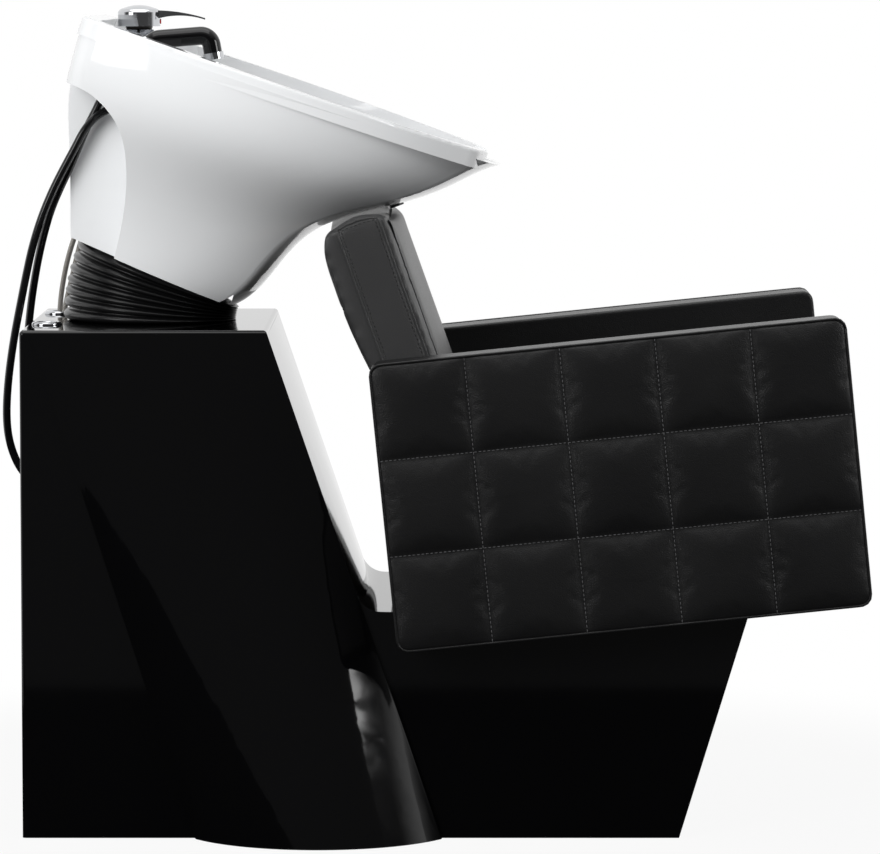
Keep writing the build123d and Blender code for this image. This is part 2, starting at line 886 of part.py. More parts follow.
strainer_hole = 2
strainer_rings = ((0, 1), (strainer_radius * 0.45, 6), (strainer_radius * 0.75, 12))
with BuildPart() as hair_strainer:
    with BuildSketch(basin_plane.offset(-bowl_depth + drain_thickness + gap)):
        with Locations((drain_x, 0)):
            Circle(drain_flange - drain_thickness)
            for ring, count in strainer_rings:
                with PolarLocations(ring, count):
                    Circle(strainer_hole / 2, mode=Mode.SUBTRACT)
    extrude(amount=strainer_hole)
    with BuildSketch(basin_plane.offset(-bowl_depth + drain_thickness + gap)):
        with Locations((drain_x, 0)):
            Circle(strainer_radius - gap)
            Circle(strainer_radius - gap - strainer_hole, mode=Mode.SUBTRACT)
    extrude(amount=-strainer_radius)
    with BuildSketch(basin_plane.offset(-bowl_depth + drain_thickness + gap + strainer_hole)):
        with Locations((drain_x, 0)):
            Circle(strainer_hole * 2)
            Circle(strainer_hole / 2, mode=Mode.SUBTRACT)
    extrude(amount=3 * strainer_hole)
save(hair_strainer, "hair_strainer")


# A hose is straight runs joined by tangent arcs, each as large as its two runs allow
def corner_radii(points):
    vectors = [Vector(*point) for point in points]
    radii = []
    for before, here, after in zip(vectors, vectors[1:], vectors[2:]):
        first = here - before
        second = after - here
        half_turn = radians(first.get_angle(second)) / 2
        radii.append(0.45 * min(first.length, second.length) / tan(half_turn))
    return radii


def hose(label, points, radius, bore=0):
    radii = corner_radii(points)
    with BuildPart() as tube_part:
        with BuildLine() as path:
            FilletPolyline(*points, radius=radii)
        direction = Vector(*points[1]) - Vector(*points[0])
        with BuildSketch(Plane(origin=points[0], z_dir=direction)) as section:
            Circle(radius)
            if bore:
                Circle(bore, mode=Mode.SUBTRACT)
        sweep(path=path.wires()[0])
    length = path.wires()[0].length
    print(label, "length", round(length), "least radius", round(min(radii)), "of", [round(r) for r in radii])
    print(label, "volume ratio", round(tube_part.part.volume / (section.sketch.area * length), 4))
    save(tube_part, label)


# Each run's length, and its share of the basin's tilt
waste_run_shares = ((28, 1), (34, 0.66), (38, 0.34), (38, 0.08), (36, -0.1))
waste_points = [basin_world(drain_x, 0, -bowl_depth - drain_length)]
for run, share in waste_run_shares:
    x, _, z = waste_points[-1]
    angle = radians(basin_tilt * share)
    waste_points.append((x - run * sin(angle), 0, z - run * cos(angle)))
hose("waste_hose", waste_points, waste_radius, waste_bore)

# Mixer: collar on the deck with its shank, ball cartridge, cap with the lever, and dot
deck_plane = basin_plane.offset(-deck_drop)
with BuildPart() as mixer_body:
    with BuildSketch(Plane.XY.offset(mixer_collar_z + mixer_cone)):
        with Locations((mixer_x, mixer_y)):
            Circle(ball_radius + 2 * gap)
    extrude(amount=-mixer_cone, taper=-42)
    with BuildSketch(Plane.XY.offset(mixer_collar_z)):
        with Locations((mixer_x, mixer_y)):
            Circle(mixer_radius)
    extrude(amount=-2 * mixer_radius)
    split(bisect_by=deck_plane, keep=Keep.TOP)
    with BuildSketch(deck_plane):
        with Locations((shank_x, mixer_y)):
            Circle(shank_radius)
    extrude(amount=-shank_length)
    with Locations((mixer_x, mixer_y, mixer_pivot_z)):
        Sphere(ball_radius + gap, mode=Mode.SUBTRACT)
save(mixer_body, "mixer_body")

with BuildPart() as mixer_locknut:
    with BuildSketch(basin_plane.offset(-hollow_top)):
        with Locations((shank_x, mixer_y)):
            RegularPolygon(shank_nut, 6)
            Circle(shank_radius + fit, mode=Mode.SUBTRACT)
    extrude(amount=-2 * bracket_steel)
save(mixer_locknut, "mixer_locknut")

lever_pin = 2.5
ball_top = 5
with BuildPart() as cartridge_ball:
    with Locations((mixer_x, mixer_y, mixer_pivot_z)):
        Sphere(ball_radius)
    with BuildSketch(Plane.XZ.offset(-mixer_y - ball_radius - ball_top)):
        with Locations((mixer_x, mixer_pivot_z)):
            Circle(lever_pin)
    extrude(amount=2 * (ball_radius + ball_top))
save(cartridge_ball, "cartridge_ball")

lever_side = Plane(origin=(mixer_x, mixer_y, 0), x_dir=(1, 0, 0), z_dir=(0, -1, 0))
socket = ball_radius + gap
cap_inner = cap_radius - lever_thickness / 2
wall_top = cap_top_z - cap_radius / 3
dome_radius = 2 * cap_radius
dome_edge = 0.75 * cap_radius
dome_edge_z = cap_top_z - dome_radius + sqrt(dome_radius**2 - dome_edge**2)
dome_half_z = cap_top_z - dome_radius + sqrt(dome_radius**2 - dome_edge**2 / 4)
with BuildPart() as lever_cap:
    with BuildSketch(lever_side):
        with BuildLine():
            Polyline((cap_inner, cap_rim_z), (cap_radius, cap_rim_z), (cap_radius, wall_top))
            RadiusArc((cap_radius, wall_top), (dome_edge, dome_edge_z), -cap_radius / 3)
            ThreePointArc((dome_edge, dome_edge_z), (dome_edge / 2, dome_half_z), (0, cap_top_z))
            Line((0, cap_top_z), (0, mixer_pivot_z + socket))
            ThreePointArc(
                (0, mixer_pivot_z + socket),
                (socket * sin(pi / 4), mixer_pivot_z + socket * cos(pi / 4)),
                (socket, mixer_pivot_z),
            )
            Polyline((socket, mixer_pivot_z), (cap_inner, mixer_pivot_z), (cap_inner, cap_rim_z))
        make_face()
    revolve(axis=Axis((mixer_x, mixer_y, 0), (0, 0, 1)))
    with BuildSketch(lever_side):
        with BuildLine():
            root = cap_radius - lever_thickness
            root_top = wall_top + lever_thickness / 2
            arm_middle = lever_reach * 0.6
            tip = (lever_reach, cap_top_z - 4 * lever_thickness)
            ThreePointArc((root, root_top), (arm_middle, root_top - lever_thickness / 2), tip)
            Line(tip, (tip[0], tip[1] - lever_thickness / 2))
            ThreePointArc(
                (tip[0], tip[1] - lever_thickness / 2),
                (arm_middle, root_top - 1.6 * lever_thickness),
                (root, root_top - 2.6 * lever_thickness),
            )
            Line((root, root_top - 2.6 * lever_thickness), (root, root_top))
        make_face()
    extrude(amount=lever_width / 2, both=True)
    with BuildSketch(lever_side.offset(-ball_radius - ball_top - gap)):
        with Locations((0, mixer_pivot_z)):
            Circle(lever_pin + fit)
    extrude(amount=2 * (ball_radius + ball_top + gap), mode=Mode.SUBTRACT)
save(lever_cap, "lever_cap")

dot_radius = 3
with BuildPart() as lever_dot:
    with BuildSketch(Plane.YZ.offset(mixer_x + cap_radius)):
        with Locations((mixer_y, cap_rim_z + 2 * dot_radius)):
            Circle(dot_radius)
    extrude(amount=dot_radius / 3)
save(lever_dot, "lever_dot")

# Hand shower standing in its dock on the deck
with BuildPart() as shower_dock:
    with BuildSketch(deck_plane):
        with Locations((shower_x, shower_y)):
            Circle(dock_radius)
            Circle(shower_radius + gap, mode=Mode.SUBTRACT)
    extrude(amount=dock_height)
    fillet(shower_dock.edges().group_by(Axis(deck_plane.origin, deck_plane.z_dir))[-1], radius=dock_height / 4)
save(shower_dock, "shower_dock")

shower_foot = basin_world(shower_x, shower_y, -hollow_top)
shower_bend = basin_world(shower_x, shower_y, -deck_drop + shower_rise)
shower_nose = (shower_bend[0] + shower_reach, shower_y, shower_bend[2] + shower_radius / 2)
shower_face = (shower_nose[0] + shower_radius / 3, shower_y, shower_nose[2] - shower_drop)
with BuildPart() as hand_shower:
    with BuildLine() as shower_path:
        FilletPolyline(
            shower_foot,
            shower_bend,
            shower_nose,
            shower_face,
            radius=[shower_radius * 1.3, shower_radius * 1.15],
        )
    with BuildSketch(Plane(origin=shower_foot, z_dir=basin_plane.z_dir)):
        Circle(shower_radius)
    sweep(path=shower_path.wires()[0])
save(hand_shower, "hand_shower")

spray_plane = Plane(
    origin=shower_face,
    z_dir=(shower_face[0] - shower_nose[0], 0, shower_face[2] - shower_nose[2]),
)
with BuildPart() as spray_head:
    with BuildSketch(spray_plane):
        Circle(spray_radius)
    extrude(amount=spray_height)
    with BuildSketch(spray_plane.offset(spray_height)):
        Circle(spray_radius * 0.8)
    extrude(amount=-spray_height / 4, mode=Mode.SUBTRACT)
save(spray_head, "spray_head")

with BuildPart() as shower_cone:
    with BuildSketch(basin_plane.offset(-hollow_top)):
        with Locations((shower_x, shower_y)):
            Circle(shower_radius - gap)
    with BuildSketch(basin_plane.offset(-hollow_top - cone_length)):
        with Locations((shower_x, shower_y)):
            Circle(cone_radius)
    loft()
save(shower_cone, "shower_cone")

cap_x = 42
cap_y = -20
with BuildPart() as deck_cap:
    with BuildSketch(deck_plane):
        with Locations((cap_x, cap_y)):
            Circle(dock_radius)
    extrude(amount=dock_height / 2)
    fillet(deck_cap.edges().group_by(Axis(deck_plane.origin, deck_plane.z_dir))[-1], radius=dock_height / 3)
save(deck_cap, "deck_cap")

bumper_radius = 9
bumper_height = 4
bumper_length_share = 0.7973
bumper_depth_share = 0.3345
bumper_place = basin_world(basin_length * bumper_length_share, 0, -basin_depth * bumper_depth_share)
bumper_plane = Plane(origin=bumper_place, z_dir=(lean_sin, 0, -lean_cos))
with BuildPart() as rubber_bumper:
    with BuildSketch(bumper_plane.offset(bumper_height)):
        Circle(bumper_radius)
    extrude(amount=-4 * bumper_height)
    add(basin.part, mode=Mode.SUBTRACT)
save(rubber_bumper, "rubber_bumper")

# Shower hose: one length, down outside, round inside the base and back up to the mixer
hose_down = [
    (-253.5, -100, 897.9),
    (-259.1, -100, 881.6),
    (-271.4, -102, 868.9),
    (-287.9, -107, 862.4),
    (-304.9, -112.5, 852.9),
    (-318.4, -114.5, 837),
    (-328.3, -114.7, 817.5),
    (-339.7, -114, 797),
    (-355.5, -113.5, 767),
    (-370, -111, 733),
    (-381.5, -107, 697),
    (-389.5, -101.5, 662.7),
    (-396.5, -96, 630),
    (-403.5, -91, 597),
    (-409.5, -86, 563),
    (-414, -80.5, 530),
    (-416.5, -74.5, 497.4),
    (-415.5, -69, 470),
    (-410, -64, 446),
    (-400.5, -61, 425.5),
    (-386, -59, 409.5),
]
hose_round = [
    (-386, -59, 409.5),
    (-367, -58, 398),
    (-345, -57.5, 390),
    (-321, -55, 385),
    (-299, -45.5, 385),
    (-286, -28, 389),
    (-283, -6, 398),
    (-293, 12.5, 411),
    (-310, 22, 426),
    (-332, 24, 441),
    (-354, 23, 451),
    (-374, 22.3, 458),
    (-389, 21.9, 469),
]
hose_up = [
    (-389, 21.9, 469),
    (-398.8, 21.6, 484),
    (-401.6, 21.3, 503),
    (-401.8, 21, 527),
    (-399.5, 19, 556),
    (-396.5, 13, 590),
    (-392, 0, 622),
    (-386, -20, 652),
    (-378.8, -44, 682),
    (-370, -66, 713.2),
    (-360, -83, 742.9),
    (-347, -93, 771),
    (-332.5, -99, 800),
    (-317, -101.5, 837.5),
    (-303.7, -102, 862.6),
    (-295.6, -99.6, 880.1),
    (-290.7, -91.8, 891.3),
    (-287.6, -79, 898.7),
    (-286.6, -63.5, 900),
    (-289, -36, 891.8),
    (-292.3, -8, 880.9),
    (-294.7, 18.8, 872.8),
    (-293.6, 36.5, 875.2),
    (-290, 50.6, 884.7),
    (-285, 58, 898.6),
    (-279.9, 58, 913.3),
]
supply_routes = {
    "supply_hose_hot": [
        (-268.6, 52, 909.4),
        (-274.6, 52, 891.7),
        (-281.5, 58.5, 872.9),
        (-288.8, 72, 854.3),
        (-296.8, 86.5, 834.8),
        (-306.2, 95, 810.6),
        (-316.3, 97.5, 782.3),
        (-325.6, 96.5, 755.9),
        (-334.8, 96, 729.4),
        (-343, 96, 706),
        (-352.5, 96.5, 678),
        (-359, 98.5, 650),
        (-363.5, 101.5, 622),
        (-365, 103, 596),
        (-364, 102.5, 566),
        (-359, 101, 538),
        (-351, 99, 512),
        (-341, 97, 489),
    ],
    "supply_hose_cold": [
        (-265.3, 65, 908.2),
        (-271.3, 65, 890.6),
        (-277.1, 70, 871.4),
        (-283.2, 79, 850.2),
        (-289.6, 88, 828.1),
        (-298.2, 93, 802.5),
        (-307.7, 94.5, 777.2),
        (-317.6, 94.2, 752.1),
        (-326, 94.1, 729),
        (-336.5, 94, 698),
        (-344, 94.3, 669),
        (-350.5, 95, 641),
        (-357.5, 95.9, 614),
        (-361.5, 96.2, 586),
        (-361, 94, 558),
        (-356, 90, 531),
        (-347.5, 84.5, 506),
        (-337, 78, 484),
    ],
}


# Shift a route so that its ends meet their fittings, however these have moved
def fitted(route, start, end):
    start_shift = Vector(*start) - Vector(*route[0])
    end_shift = Vector(*end) - Vector(*route[-1])
    last = len(route) - 1
    points = []
    for step, place in enumerate(route):
        point = Vector(*place) + start_shift * (1 - step / last) + end_shift * (step / last)
        points.append((point.X, point.Y, point.Z))
    return points


shank_end = -deck_drop - shank_length - gap
cone_end = -hollow_top - cone_length - gap
outlet_shift = 9
hose_stops = [
    basin_world(shower_x, shower_y, cone_end),
    (rear_x + 4, wall_low[0] + 0.4, wall_low[1] - 4.3),
    (rear_x + 1, wall_high[0] - 0.1, wall_high[1] - 2.2),
    basin_world(shank_x - outlet_shift, mixer_y - bracket_steel / 2, shank_end),
]
shower_points = []
for step, route in enumerate([hose_down, hose_round, hose_up]):
    shower_points += fitted(route, hose_stops[step], hose_stops[step + 1])[min(step, 1):]
hose("shower_hose", shower_points, hose_radius, hose_bore)
# Each starts beside the shank's middle and ends this deep below the base top
supply_ends = {"supply_hose_hot": (3, -8, 115), "supply_hose_cold": (6.5, 5, 120)}
supply_points = {}
connector_radius = 6.5
connector_length = 16
with BuildPart() as supply_connectors:
    for label, (shift_x, shift_y, depth) in supply_ends.items():
        route = supply_routes[label]
        points = fitted(
            route,
            basin_world(shank_x + shift_x, mixer_y + shift_y, shank_end),
            (route[-1][0], route[-1][1], base_height - depth),
        )
        supply_points[label] = points
        run = Vector(*points[-1]) - Vector(*points[-2])
        with BuildSketch(Plane(origin=points[-1], z_dir=run)):
            RegularPolygon(connector_radius, 6)
        extrude(amount=connector_length)
        with BuildSketch(Plane(origin=points[-1], z_dir=run).offset(connector_length)):
            Circle(connector_radius / 2)
        extrude(amount=-connector_length / 2, mode=Mode.SUBTRACT)
save(supply_connectors, "supply_connectors")
for label, points in supply_points.items():
    hose(label, points, braid_radius)

# Chair: armrests of quilted foam on a board, with an inner liner
band = arm_band
tile_u = (arm_length - 2 * quilt_border) / arm_columns
tile_v = (arm_height - 2 * quilt_border) / arm_rows
pocket_u = arm_length - 2 * band
pocket_v = arm_height - 2 * band
pocket_depth = arm_liner + arm_board
arm_middle = (arm_length / 2, arm_height / 2)
arm_bolt_u = (130, 430)
arm_bolt_v = 25
arm_bolt_places = [(u, arm_bolt_v) for u in arm_bolt_u]
with BuildPart() as armrest_pad:
    with BuildSketch(chair_side.offset(arm_inner)):
        with Locations(arm_middle):
            RectangleRounded(arm_length, arm_height, arm_corner)
    extrude(amount=arm_thickness - quilt_height)
    with BuildSketch(chair_side.offset(arm_outer - quilt_height)):
        with Locations(arm_middle):
            with GridLocations(tile_u, tile_v, arm_columns, arm_rows):
                Rectangle(tile_u, tile_v)
    extrude(amount=quilt_height * 0.6, taper=45)
    with BuildSketch(chair_side.offset(arm_outer - quilt_height * 0.4)):
        with Locations(arm_middle):
            with GridLocations(tile_u, tile_v, arm_columns, arm_rows):
                Rectangle(tile_u - quilt_height * 1.2, tile_v - quilt_height * 1.2)
    extrude(amount=quilt_height * 0.4, taper=70)
    with BuildSketch(chair_side.offset(arm_inner)):
        with Locations(arm_middle):
            Rectangle(pocket_u, pocket_v)
    extrude(amount=pocket_depth, mode=Mode.SUBTRACT)

with BuildPart() as armrest_liner:
    with BuildSketch(chair_side.offset(arm_inner)):
        with Locations(arm_middle):
            Rectangle(pocket_u - 2 * gap, pocket_v - 2 * gap)
        with Locations(*arm_bolt_places):
            Circle(bolt_radius + gap, mode=Mode.SUBTRACT)
    extrude(amount=arm_liner)

with BuildPart() as armrest_board:
    with BuildSketch(chair_side.offset(arm_inner + arm_liner)):
        with Locations(arm_middle):
            Rectangle(pocket_u - 2 * gap, pocket_v - 2 * gap)
        with Locations(*arm_bolt_places):
            Circle(bolt_radius + gap, mode=Mode.SUBTRACT)
    extrude(amount=arm_board)

armrest_pieces = {"armrest_pad": armrest_pad, "armrest_liner": armrest_liner, "armrest_board": armrest_board}
for label, piece in armrest_pieces.items():
    save(piece, f"{label}_right")
    with BuildPart() as left_piece:
        add(piece.part.mirror(Plane.XZ))
    save(left_piece, f"{label}_left")

# Seat board on two wedge risers, with angle brackets that hold the armrests
seat_top = seat_board_level + seat_board_thickness
seat_board_rear = 30
seat_board_front = 530
board_half = arm_inner - gap
bar_y = 165
bar_width = 30
bar_thickness = 5
bar_place = back_board + back_pad
with BuildPart() as seat_board:
    with BuildSketch(chair_side):
        with BuildLine():
            Polyline(
                (seat_board_rear, seat_board_level),
                (seat_board_front, seat_board_level),
                (seat_board_front, seat_top),
                (seat_board_rear, seat_top),
                close=True,
            )
        make_face()
    extrude(amount=board_half, both=True)
    for side in (-1, 1):
        with BuildSketch(back_side.offset(side * bar_y)):
            with Locations((bar_place + bar_thickness / 2, -arm_length)):
                Rectangle(bar_thickness + 2 * gap, arm_length)
        extrude(amount=bar_width / 2 + gap, both=True, mode=Mode.SUBTRACT)
save(seat_board, "seat_board")

bracket_rear = 60
bracket_front = 500
screw_places = (95, 280, 465)
with BuildPart() as seat_brackets:
    for side in (-1, 1):
        with BuildSketch(chair_side.offset(side * (board_half - angle_leg / 2))):
            with BuildLine():
                Polyline(
                    (bracket_rear, seat_board_level - angle_leg),
                    (bracket_front, seat_board_level - angle_leg),
                    (bracket_front, seat_board_level),
                    (bracket_rear, seat_board_level),
                    close=True,
                )
            make_face()
        extrude(amount=angle_leg / 2, both=True)
        with BuildSketch(chair_side.offset(side * (board_half - angle_leg / 2 - angle_steel))):
            with BuildLine():
                Polyline(
                    (bracket_rear - overrun, seat_board_level - 2 * angle_leg),
                    (bracket_front + overrun, seat_board_level - 2 * angle_leg),
                    (bracket_front + overrun, seat_board_level - angle_steel),
                    (bracket_rear - overrun, seat_board_level - angle_steel),
                    close=True,
                )
            make_face()
        extrude(amount=angle_leg / 2, both=True, mode=Mode.SUBTRACT)
        with BuildSketch(chair_side.offset(side * board_half)):
            with Locations(*arm_bolt_places):
                Circle(bolt_radius + gap)
        extrude(amount=-side * 2 * angle_steel, mode=Mode.SUBTRACT)
save(seat_brackets, "seat_brackets")

bolt_reach = arm_liner + arm_board - angle_steel
with BuildPart() as armrest_bolts:
    for side in (-1, 1):
        with BuildSketch(chair_side.offset(side * (board_half - angle_steel))):
            with Locations(*arm_bolt_places):
                RegularPolygon(bolt_head_radius, 6)
        extrude(amount=-side * bolt_head_height)
        with BuildSketch(chair_side.offset(side * (board_half - angle_steel))):
            with Locations(*arm_bolt_places):
                Circle(bolt_radius)
        extrude(amount=side * (angle_steel + bolt_reach))
save(armrest_bolts, "armrest_bolts")

seat_under = Plane(
    origin=(chair_rear_x - seat_board_level * pitch_sin, 0, chair_rear_z + seat_board_level * pitch_cos),
    x_dir=(pitch_cos, 0, pitch_sin),
    z_dir=(-pitch_sin, 0, pitch_cos),
)
with BuildPart() as seat_screws:
    for side in (-1, 1):
        with BuildSketch(seat_under.offset(-angle_steel)):
            with Locations(*[(u, side * (board_half - angle_leg / 2)) for u in screw_places]):
                Circle(screw_head)
        extrude(amount=-screw_radius)
save(seat_screws, "seat_screws")


def board_under(x):
    return chair_rear_z + seat_board_level / pitch_cos + (x - chair_rear_x) * pitch_sin / pitch_cos


with BuildPart() as seat_risers:
    for side in (-1, 1):
        with BuildSketch(Plane.XZ.offset(side * riser_y)):
            with BuildLine():
                Polyline(
                    (riser_rear_x, foot_height_at(riser_rear_x)),
                    (riser_front_x, foot_height_at(riser_front_x)),
                    (riser_front_x, board_under(riser_front_x)),
                    (riser_rear_x, board_under(riser_rear_x)),
                    close=True,
                )
            make_face()
        extrude(amount=riser_width / 2, both=True)
        inner_rear = riser_rear_x - overrun
        inner_front = riser_front_x + overrun
        with BuildSketch(Plane.XZ.offset(side * riser_y)):
            with BuildLine():
                Polyline(
                    (inner_rear, foot_height_at(inner_rear) + riser_steel),
                    (inner_front, foot_height_at(inner_front) + riser_steel),
                    (inner_front, board_under(inner_front) - riser_steel),
                    (inner_rear, board_under(inner_rear) - riser_steel),
                    close=True,
                )
            make_face()
        extrude(amount=riser_width / 2 - riser_steel, both=True, mode=Mode.SUBTRACT)
    with BuildSketch(foot_plane):
        with Locations(*riser_bolt_places):
            Circle(bolt_radius + gap)
    extrude(amount=riser_steel + gap, mode=Mode.SUBTRACT)
save(seat_risers, "seat_risers")

with BuildPart() as riser_bolts:
    with BuildSketch(foot_plane.offset(riser_steel)):
        with Locations(*riser_bolt_places):
            RegularPolygon(bolt_head_radius, 6)
    extrude(amount=bolt_head_height)
    with BuildSketch(foot_plane.offset(riser_steel)):
        with Locations(*riser_bolt_places):
            Circle(bolt_radius)
    extrude(amount=-riser_steel - base_wall - gap - tube_wall)
save(riser_bolts, "riser_bolts")


# Depth through the backrest: the height at which it meets the top of the seat board
def back_foot(depth):
    level = chair_local(*back_world(depth, 0))[1]
    rate = chair_local(*back_world(depth, 1))[1] - level
    return (seat_top - level) / rate


# Seat cushion, with a crowned top and a rear edge that follows the backrest
back_front = back_thickness + back_border
cushion_face = back_front + back_cushion_thickness
seat_edge_low = chair_local(*back_world(cushion_face + gap, back_foot(cushion_face)))
edge_slope = tan(radians(back_lean - chair_pitch))
cushion_top = seat_top + seat_thickness
cushion_front = arm_length - seat_front_margin
cushion_half = arm_inner - seat_board_margin / 4
with BuildPart() as seat_cushion:
    with BuildSketch(chair_side):
        with BuildLine():
            rear_low = (seat_edge_low[0] + gap, seat_top)
            rear_high = (rear_low[0] - edge_slope * (seat_thickness - seat_round), cushion_top - seat_round)
            Line(rear_low, rear_high)
            shoulder = (rear_high[0] + seat_round, cushion_top)
            RadiusArc(rear_high, shoulder, seat_round * 1.2)
            front_high = (cushion_front - 2 * seat_round, cushion_top)
            crown_place = ((shoulder[0] + front_high[0]) / 2, cushion_top + seat_crown)
            ThreePointArc(shoulder, crown_place, front_high)
            front_low = (cushion_front, cushion_top - 2 * seat_round)
            RadiusArc(front_high, front_low, 2.2 * seat_round)
            Polyline(front_low, (cushion_front, seat_top), rear_low)
        make_face()
    extrude(amount=cushion_half, both=True)
    side_edges = seat_cushion.faces().sort_by(Axis.Y)
    fillet([side_edges[0].edges().sort_by(Axis.Z)[-1], side_edges[-1].edges().sort_by(Axis.Z)[-1]], radius=seat_crown)
save(seat_cushion, "seat_cushion")

# Backrest: padded body with a full rear, a board in a pocket, two bars and a front cushion
rear_foot_share = 0.7
rear_round_share = 0.82
with BuildPart() as backrest_body:
    with BuildSketch(back_side):
        with BuildLine():
            rear_foot = (-back_pad * rear_foot_share, back_foot(-back_pad * rear_foot_share))
            front_round = (back_front, -back_border)
            ThreePointArc((0, 0), (back_thickness / 2, back_crown), (back_thickness, 0))
            RadiusArc((back_thickness, 0), front_round, back_border)
            Polyline(front_round, (back_front, back_foot(back_front)), rear_foot)
            Spline(
                rear_foot,
                (-back_pad, -back_channel),
                (-back_pad, -back_channel / 2),
                (-back_pad * rear_round_share, -back_pad / 2),
                (-back_pad / 2, 0),
                (0, 0),
            )
        make_face()
    extrude(amount=back_half_width, both=True)
    with BuildSketch(back_face):
        with Locations((0, back_dip_radius - back_dip)):
            Circle(back_dip_radius)
    extrude(amount=back_thickness * 2, both=True, mode=Mode.SUBTRACT)
    with BuildSketch(back_side):
        with BuildLine():
            board_top = -2 * back_board
            Polyline(
                (back_pad, board_top),
                (back_pad + back_board + bar_thickness + gap, board_top),
                (back_pad + back_board + bar_thickness + gap, back_foot(0) - back_channel),
                (back_pad, back_foot(0) - back_channel),
                close=True,
            )
        make_face()
    extrude(amount=back_board_half_width, both=True, mode=Mode.SUBTRACT)
save(backrest_body, "backrest_body")

with BuildPart() as backrest_board:
    with BuildSketch(back_side):
        with BuildLine():
            Polyline(
                (back_pad + gap, board_top - gap),
                (back_pad + back_board - gap, board_top - gap),
                (back_pad + back_board - gap, back_foot(back_pad + back_board) + gap),
                (back_pad + gap, back_foot(back_pad) + gap),
                close=True,
            )
        make_face()
    extrude(amount=back_board_half_width - gap, both=True)
save(backrest_board, "backrest_board")

bar_low = 17
with BuildPart() as backrest_bars:
    for side in (-1, 1):
        with BuildSketch(back_side.offset(side * bar_y)):
            with BuildLine():
                bar_end = back_foot(bar_place) - seat_board_thickness - bar_low
                Polyline(
                    (bar_place, -back_channel * 2),
                    (bar_place + bar_thickness, -back_channel * 2),
                    (bar_place + bar_thickness, bar_end),
                    (bar_place, bar_end),
                    close=True,
                )
            make_face()
        extrude(amount=bar_width / 2, both=True)
save(backrest_bars, "backrest_bars")

with BuildPart() as backrest_cushion:
    with BuildSketch(back_side):
        with BuildLine():
            top = -back_cushion_drop
            Line((back_front, back_foot(back_front)), (back_front, top))
            ThreePointArc(
                (back_front, top),
                (back_front + back_cushion_thickness * 0.7, top - back_border / 3),
                (cushion_face, top - 2 * back_border),
            )
            Polyline((cushion_face, top - 2 * back_border), (cushion_face, back_foot(cushion_face)))
            Line((cushion_face, back_foot(cushion_face)), (back_front, back_foot(back_front)))
        make_face()
    extrude(amount=back_cushion_half_width, both=True)
    side_edges = backrest_cushion.edges().group_by(Axis.Y)
    front_edges = [group.sort_by(Axis(back_side.origin, back_side.x_dir))[-1] for group in (side_edges[0], side_edges[-1])]
    fillet(front_edges, radius=back_cushion_thickness - 2 * gap)
save(backrest_cushion, "backrest_cushion")
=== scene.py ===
import json
from math import cos, exp, pi, radians, sin, tanh

import bmesh
import bpy
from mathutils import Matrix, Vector
from mathutils.kdtree import KDTree


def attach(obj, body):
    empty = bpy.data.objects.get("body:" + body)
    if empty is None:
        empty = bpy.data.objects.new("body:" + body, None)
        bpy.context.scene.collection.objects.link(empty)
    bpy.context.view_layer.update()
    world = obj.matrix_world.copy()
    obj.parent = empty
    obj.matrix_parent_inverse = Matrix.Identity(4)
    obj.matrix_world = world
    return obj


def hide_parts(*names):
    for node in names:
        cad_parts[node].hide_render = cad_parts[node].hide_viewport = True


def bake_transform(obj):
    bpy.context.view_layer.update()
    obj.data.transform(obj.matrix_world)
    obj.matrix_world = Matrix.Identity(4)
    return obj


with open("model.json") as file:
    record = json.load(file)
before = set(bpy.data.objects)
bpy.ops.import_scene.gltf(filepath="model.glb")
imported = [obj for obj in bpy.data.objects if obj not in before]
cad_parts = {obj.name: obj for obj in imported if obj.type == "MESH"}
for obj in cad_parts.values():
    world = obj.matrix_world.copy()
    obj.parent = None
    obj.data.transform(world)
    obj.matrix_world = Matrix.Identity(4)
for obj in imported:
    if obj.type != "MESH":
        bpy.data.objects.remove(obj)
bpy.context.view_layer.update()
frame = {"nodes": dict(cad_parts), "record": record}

print("frame loaded")

# Helpers that several pieces share
scene = bpy.context.scene
cadNodes = frame["nodes"]


def linkObject(name, data):
    obj = bpy.data.objects.new(name, data)
    scene.collection.objects.link(obj)
    return obj


def meshObject(name, points, faces, smooth=True):
    mesh = bpy.data.meshes.new(name)
    mesh.from_pydata([tuple(point) for point in points], [], faces)
    mesh.polygons.foreach_set("use_smooth", [smooth] * len(mesh.polygons))
    mesh.update()
    return linkObject(name, mesh)


def finishPiece(obj, finish, body=None):
    obj.data.materials.clear()
    obj.data.materials.append(finish)
    if body:
        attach(obj, body)
    return obj


# Camera, at the photograph's angle
camera = {"place": (0.106, -6.1761, 1.01534), "pitch": 5.027, "lens": 207.9, "sensor": 36, "sight": 50}
cameraData = bpy.data.cameras.new("shopCamera")
cameraData.sensor_width = camera["sensor"]
cameraData.lens = camera["lens"]
cameraData.clip_end = camera["sight"]
cameraObject = linkObject("shopCamera", cameraData)
cameraObject.location = camera["place"]
cameraObject.rotation_euler = (radians(90 - camera["pitch"]), 0, 0)
scene.camera = cameraObject
scene.view_settings.view_transform = "Standard"
print("camera ready")


# Textures as node groups that give colours, masks and heights
def newGroup(name, inputs, outputs):
    tree = bpy.data.node_groups.new(name, "ShaderNodeTree")
    for label, kind, value in inputs:
        socket = tree.interface.new_socket(label, in_out="INPUT", socket_type=kind)
        if value is not None:
            socket.default_value = value
    for label, kind in outputs:
        tree.interface.new_socket(label, in_out="OUTPUT", socket_type=kind)
    return tree, tree.nodes.new("NodeGroupInput"), tree.nodes.new("NodeGroupOutput")


def mathNode(tree, operation, first, second):
    node = tree.nodes.new("ShaderNodeMath")
    node.operation = operation
    for socket, value in zip(node.inputs, (first, second)):
        if isinstance(value, (int, float)):
            socket.default_value = value
        else:
            tree.links.new(value, socket)
    return node.outputs[0]


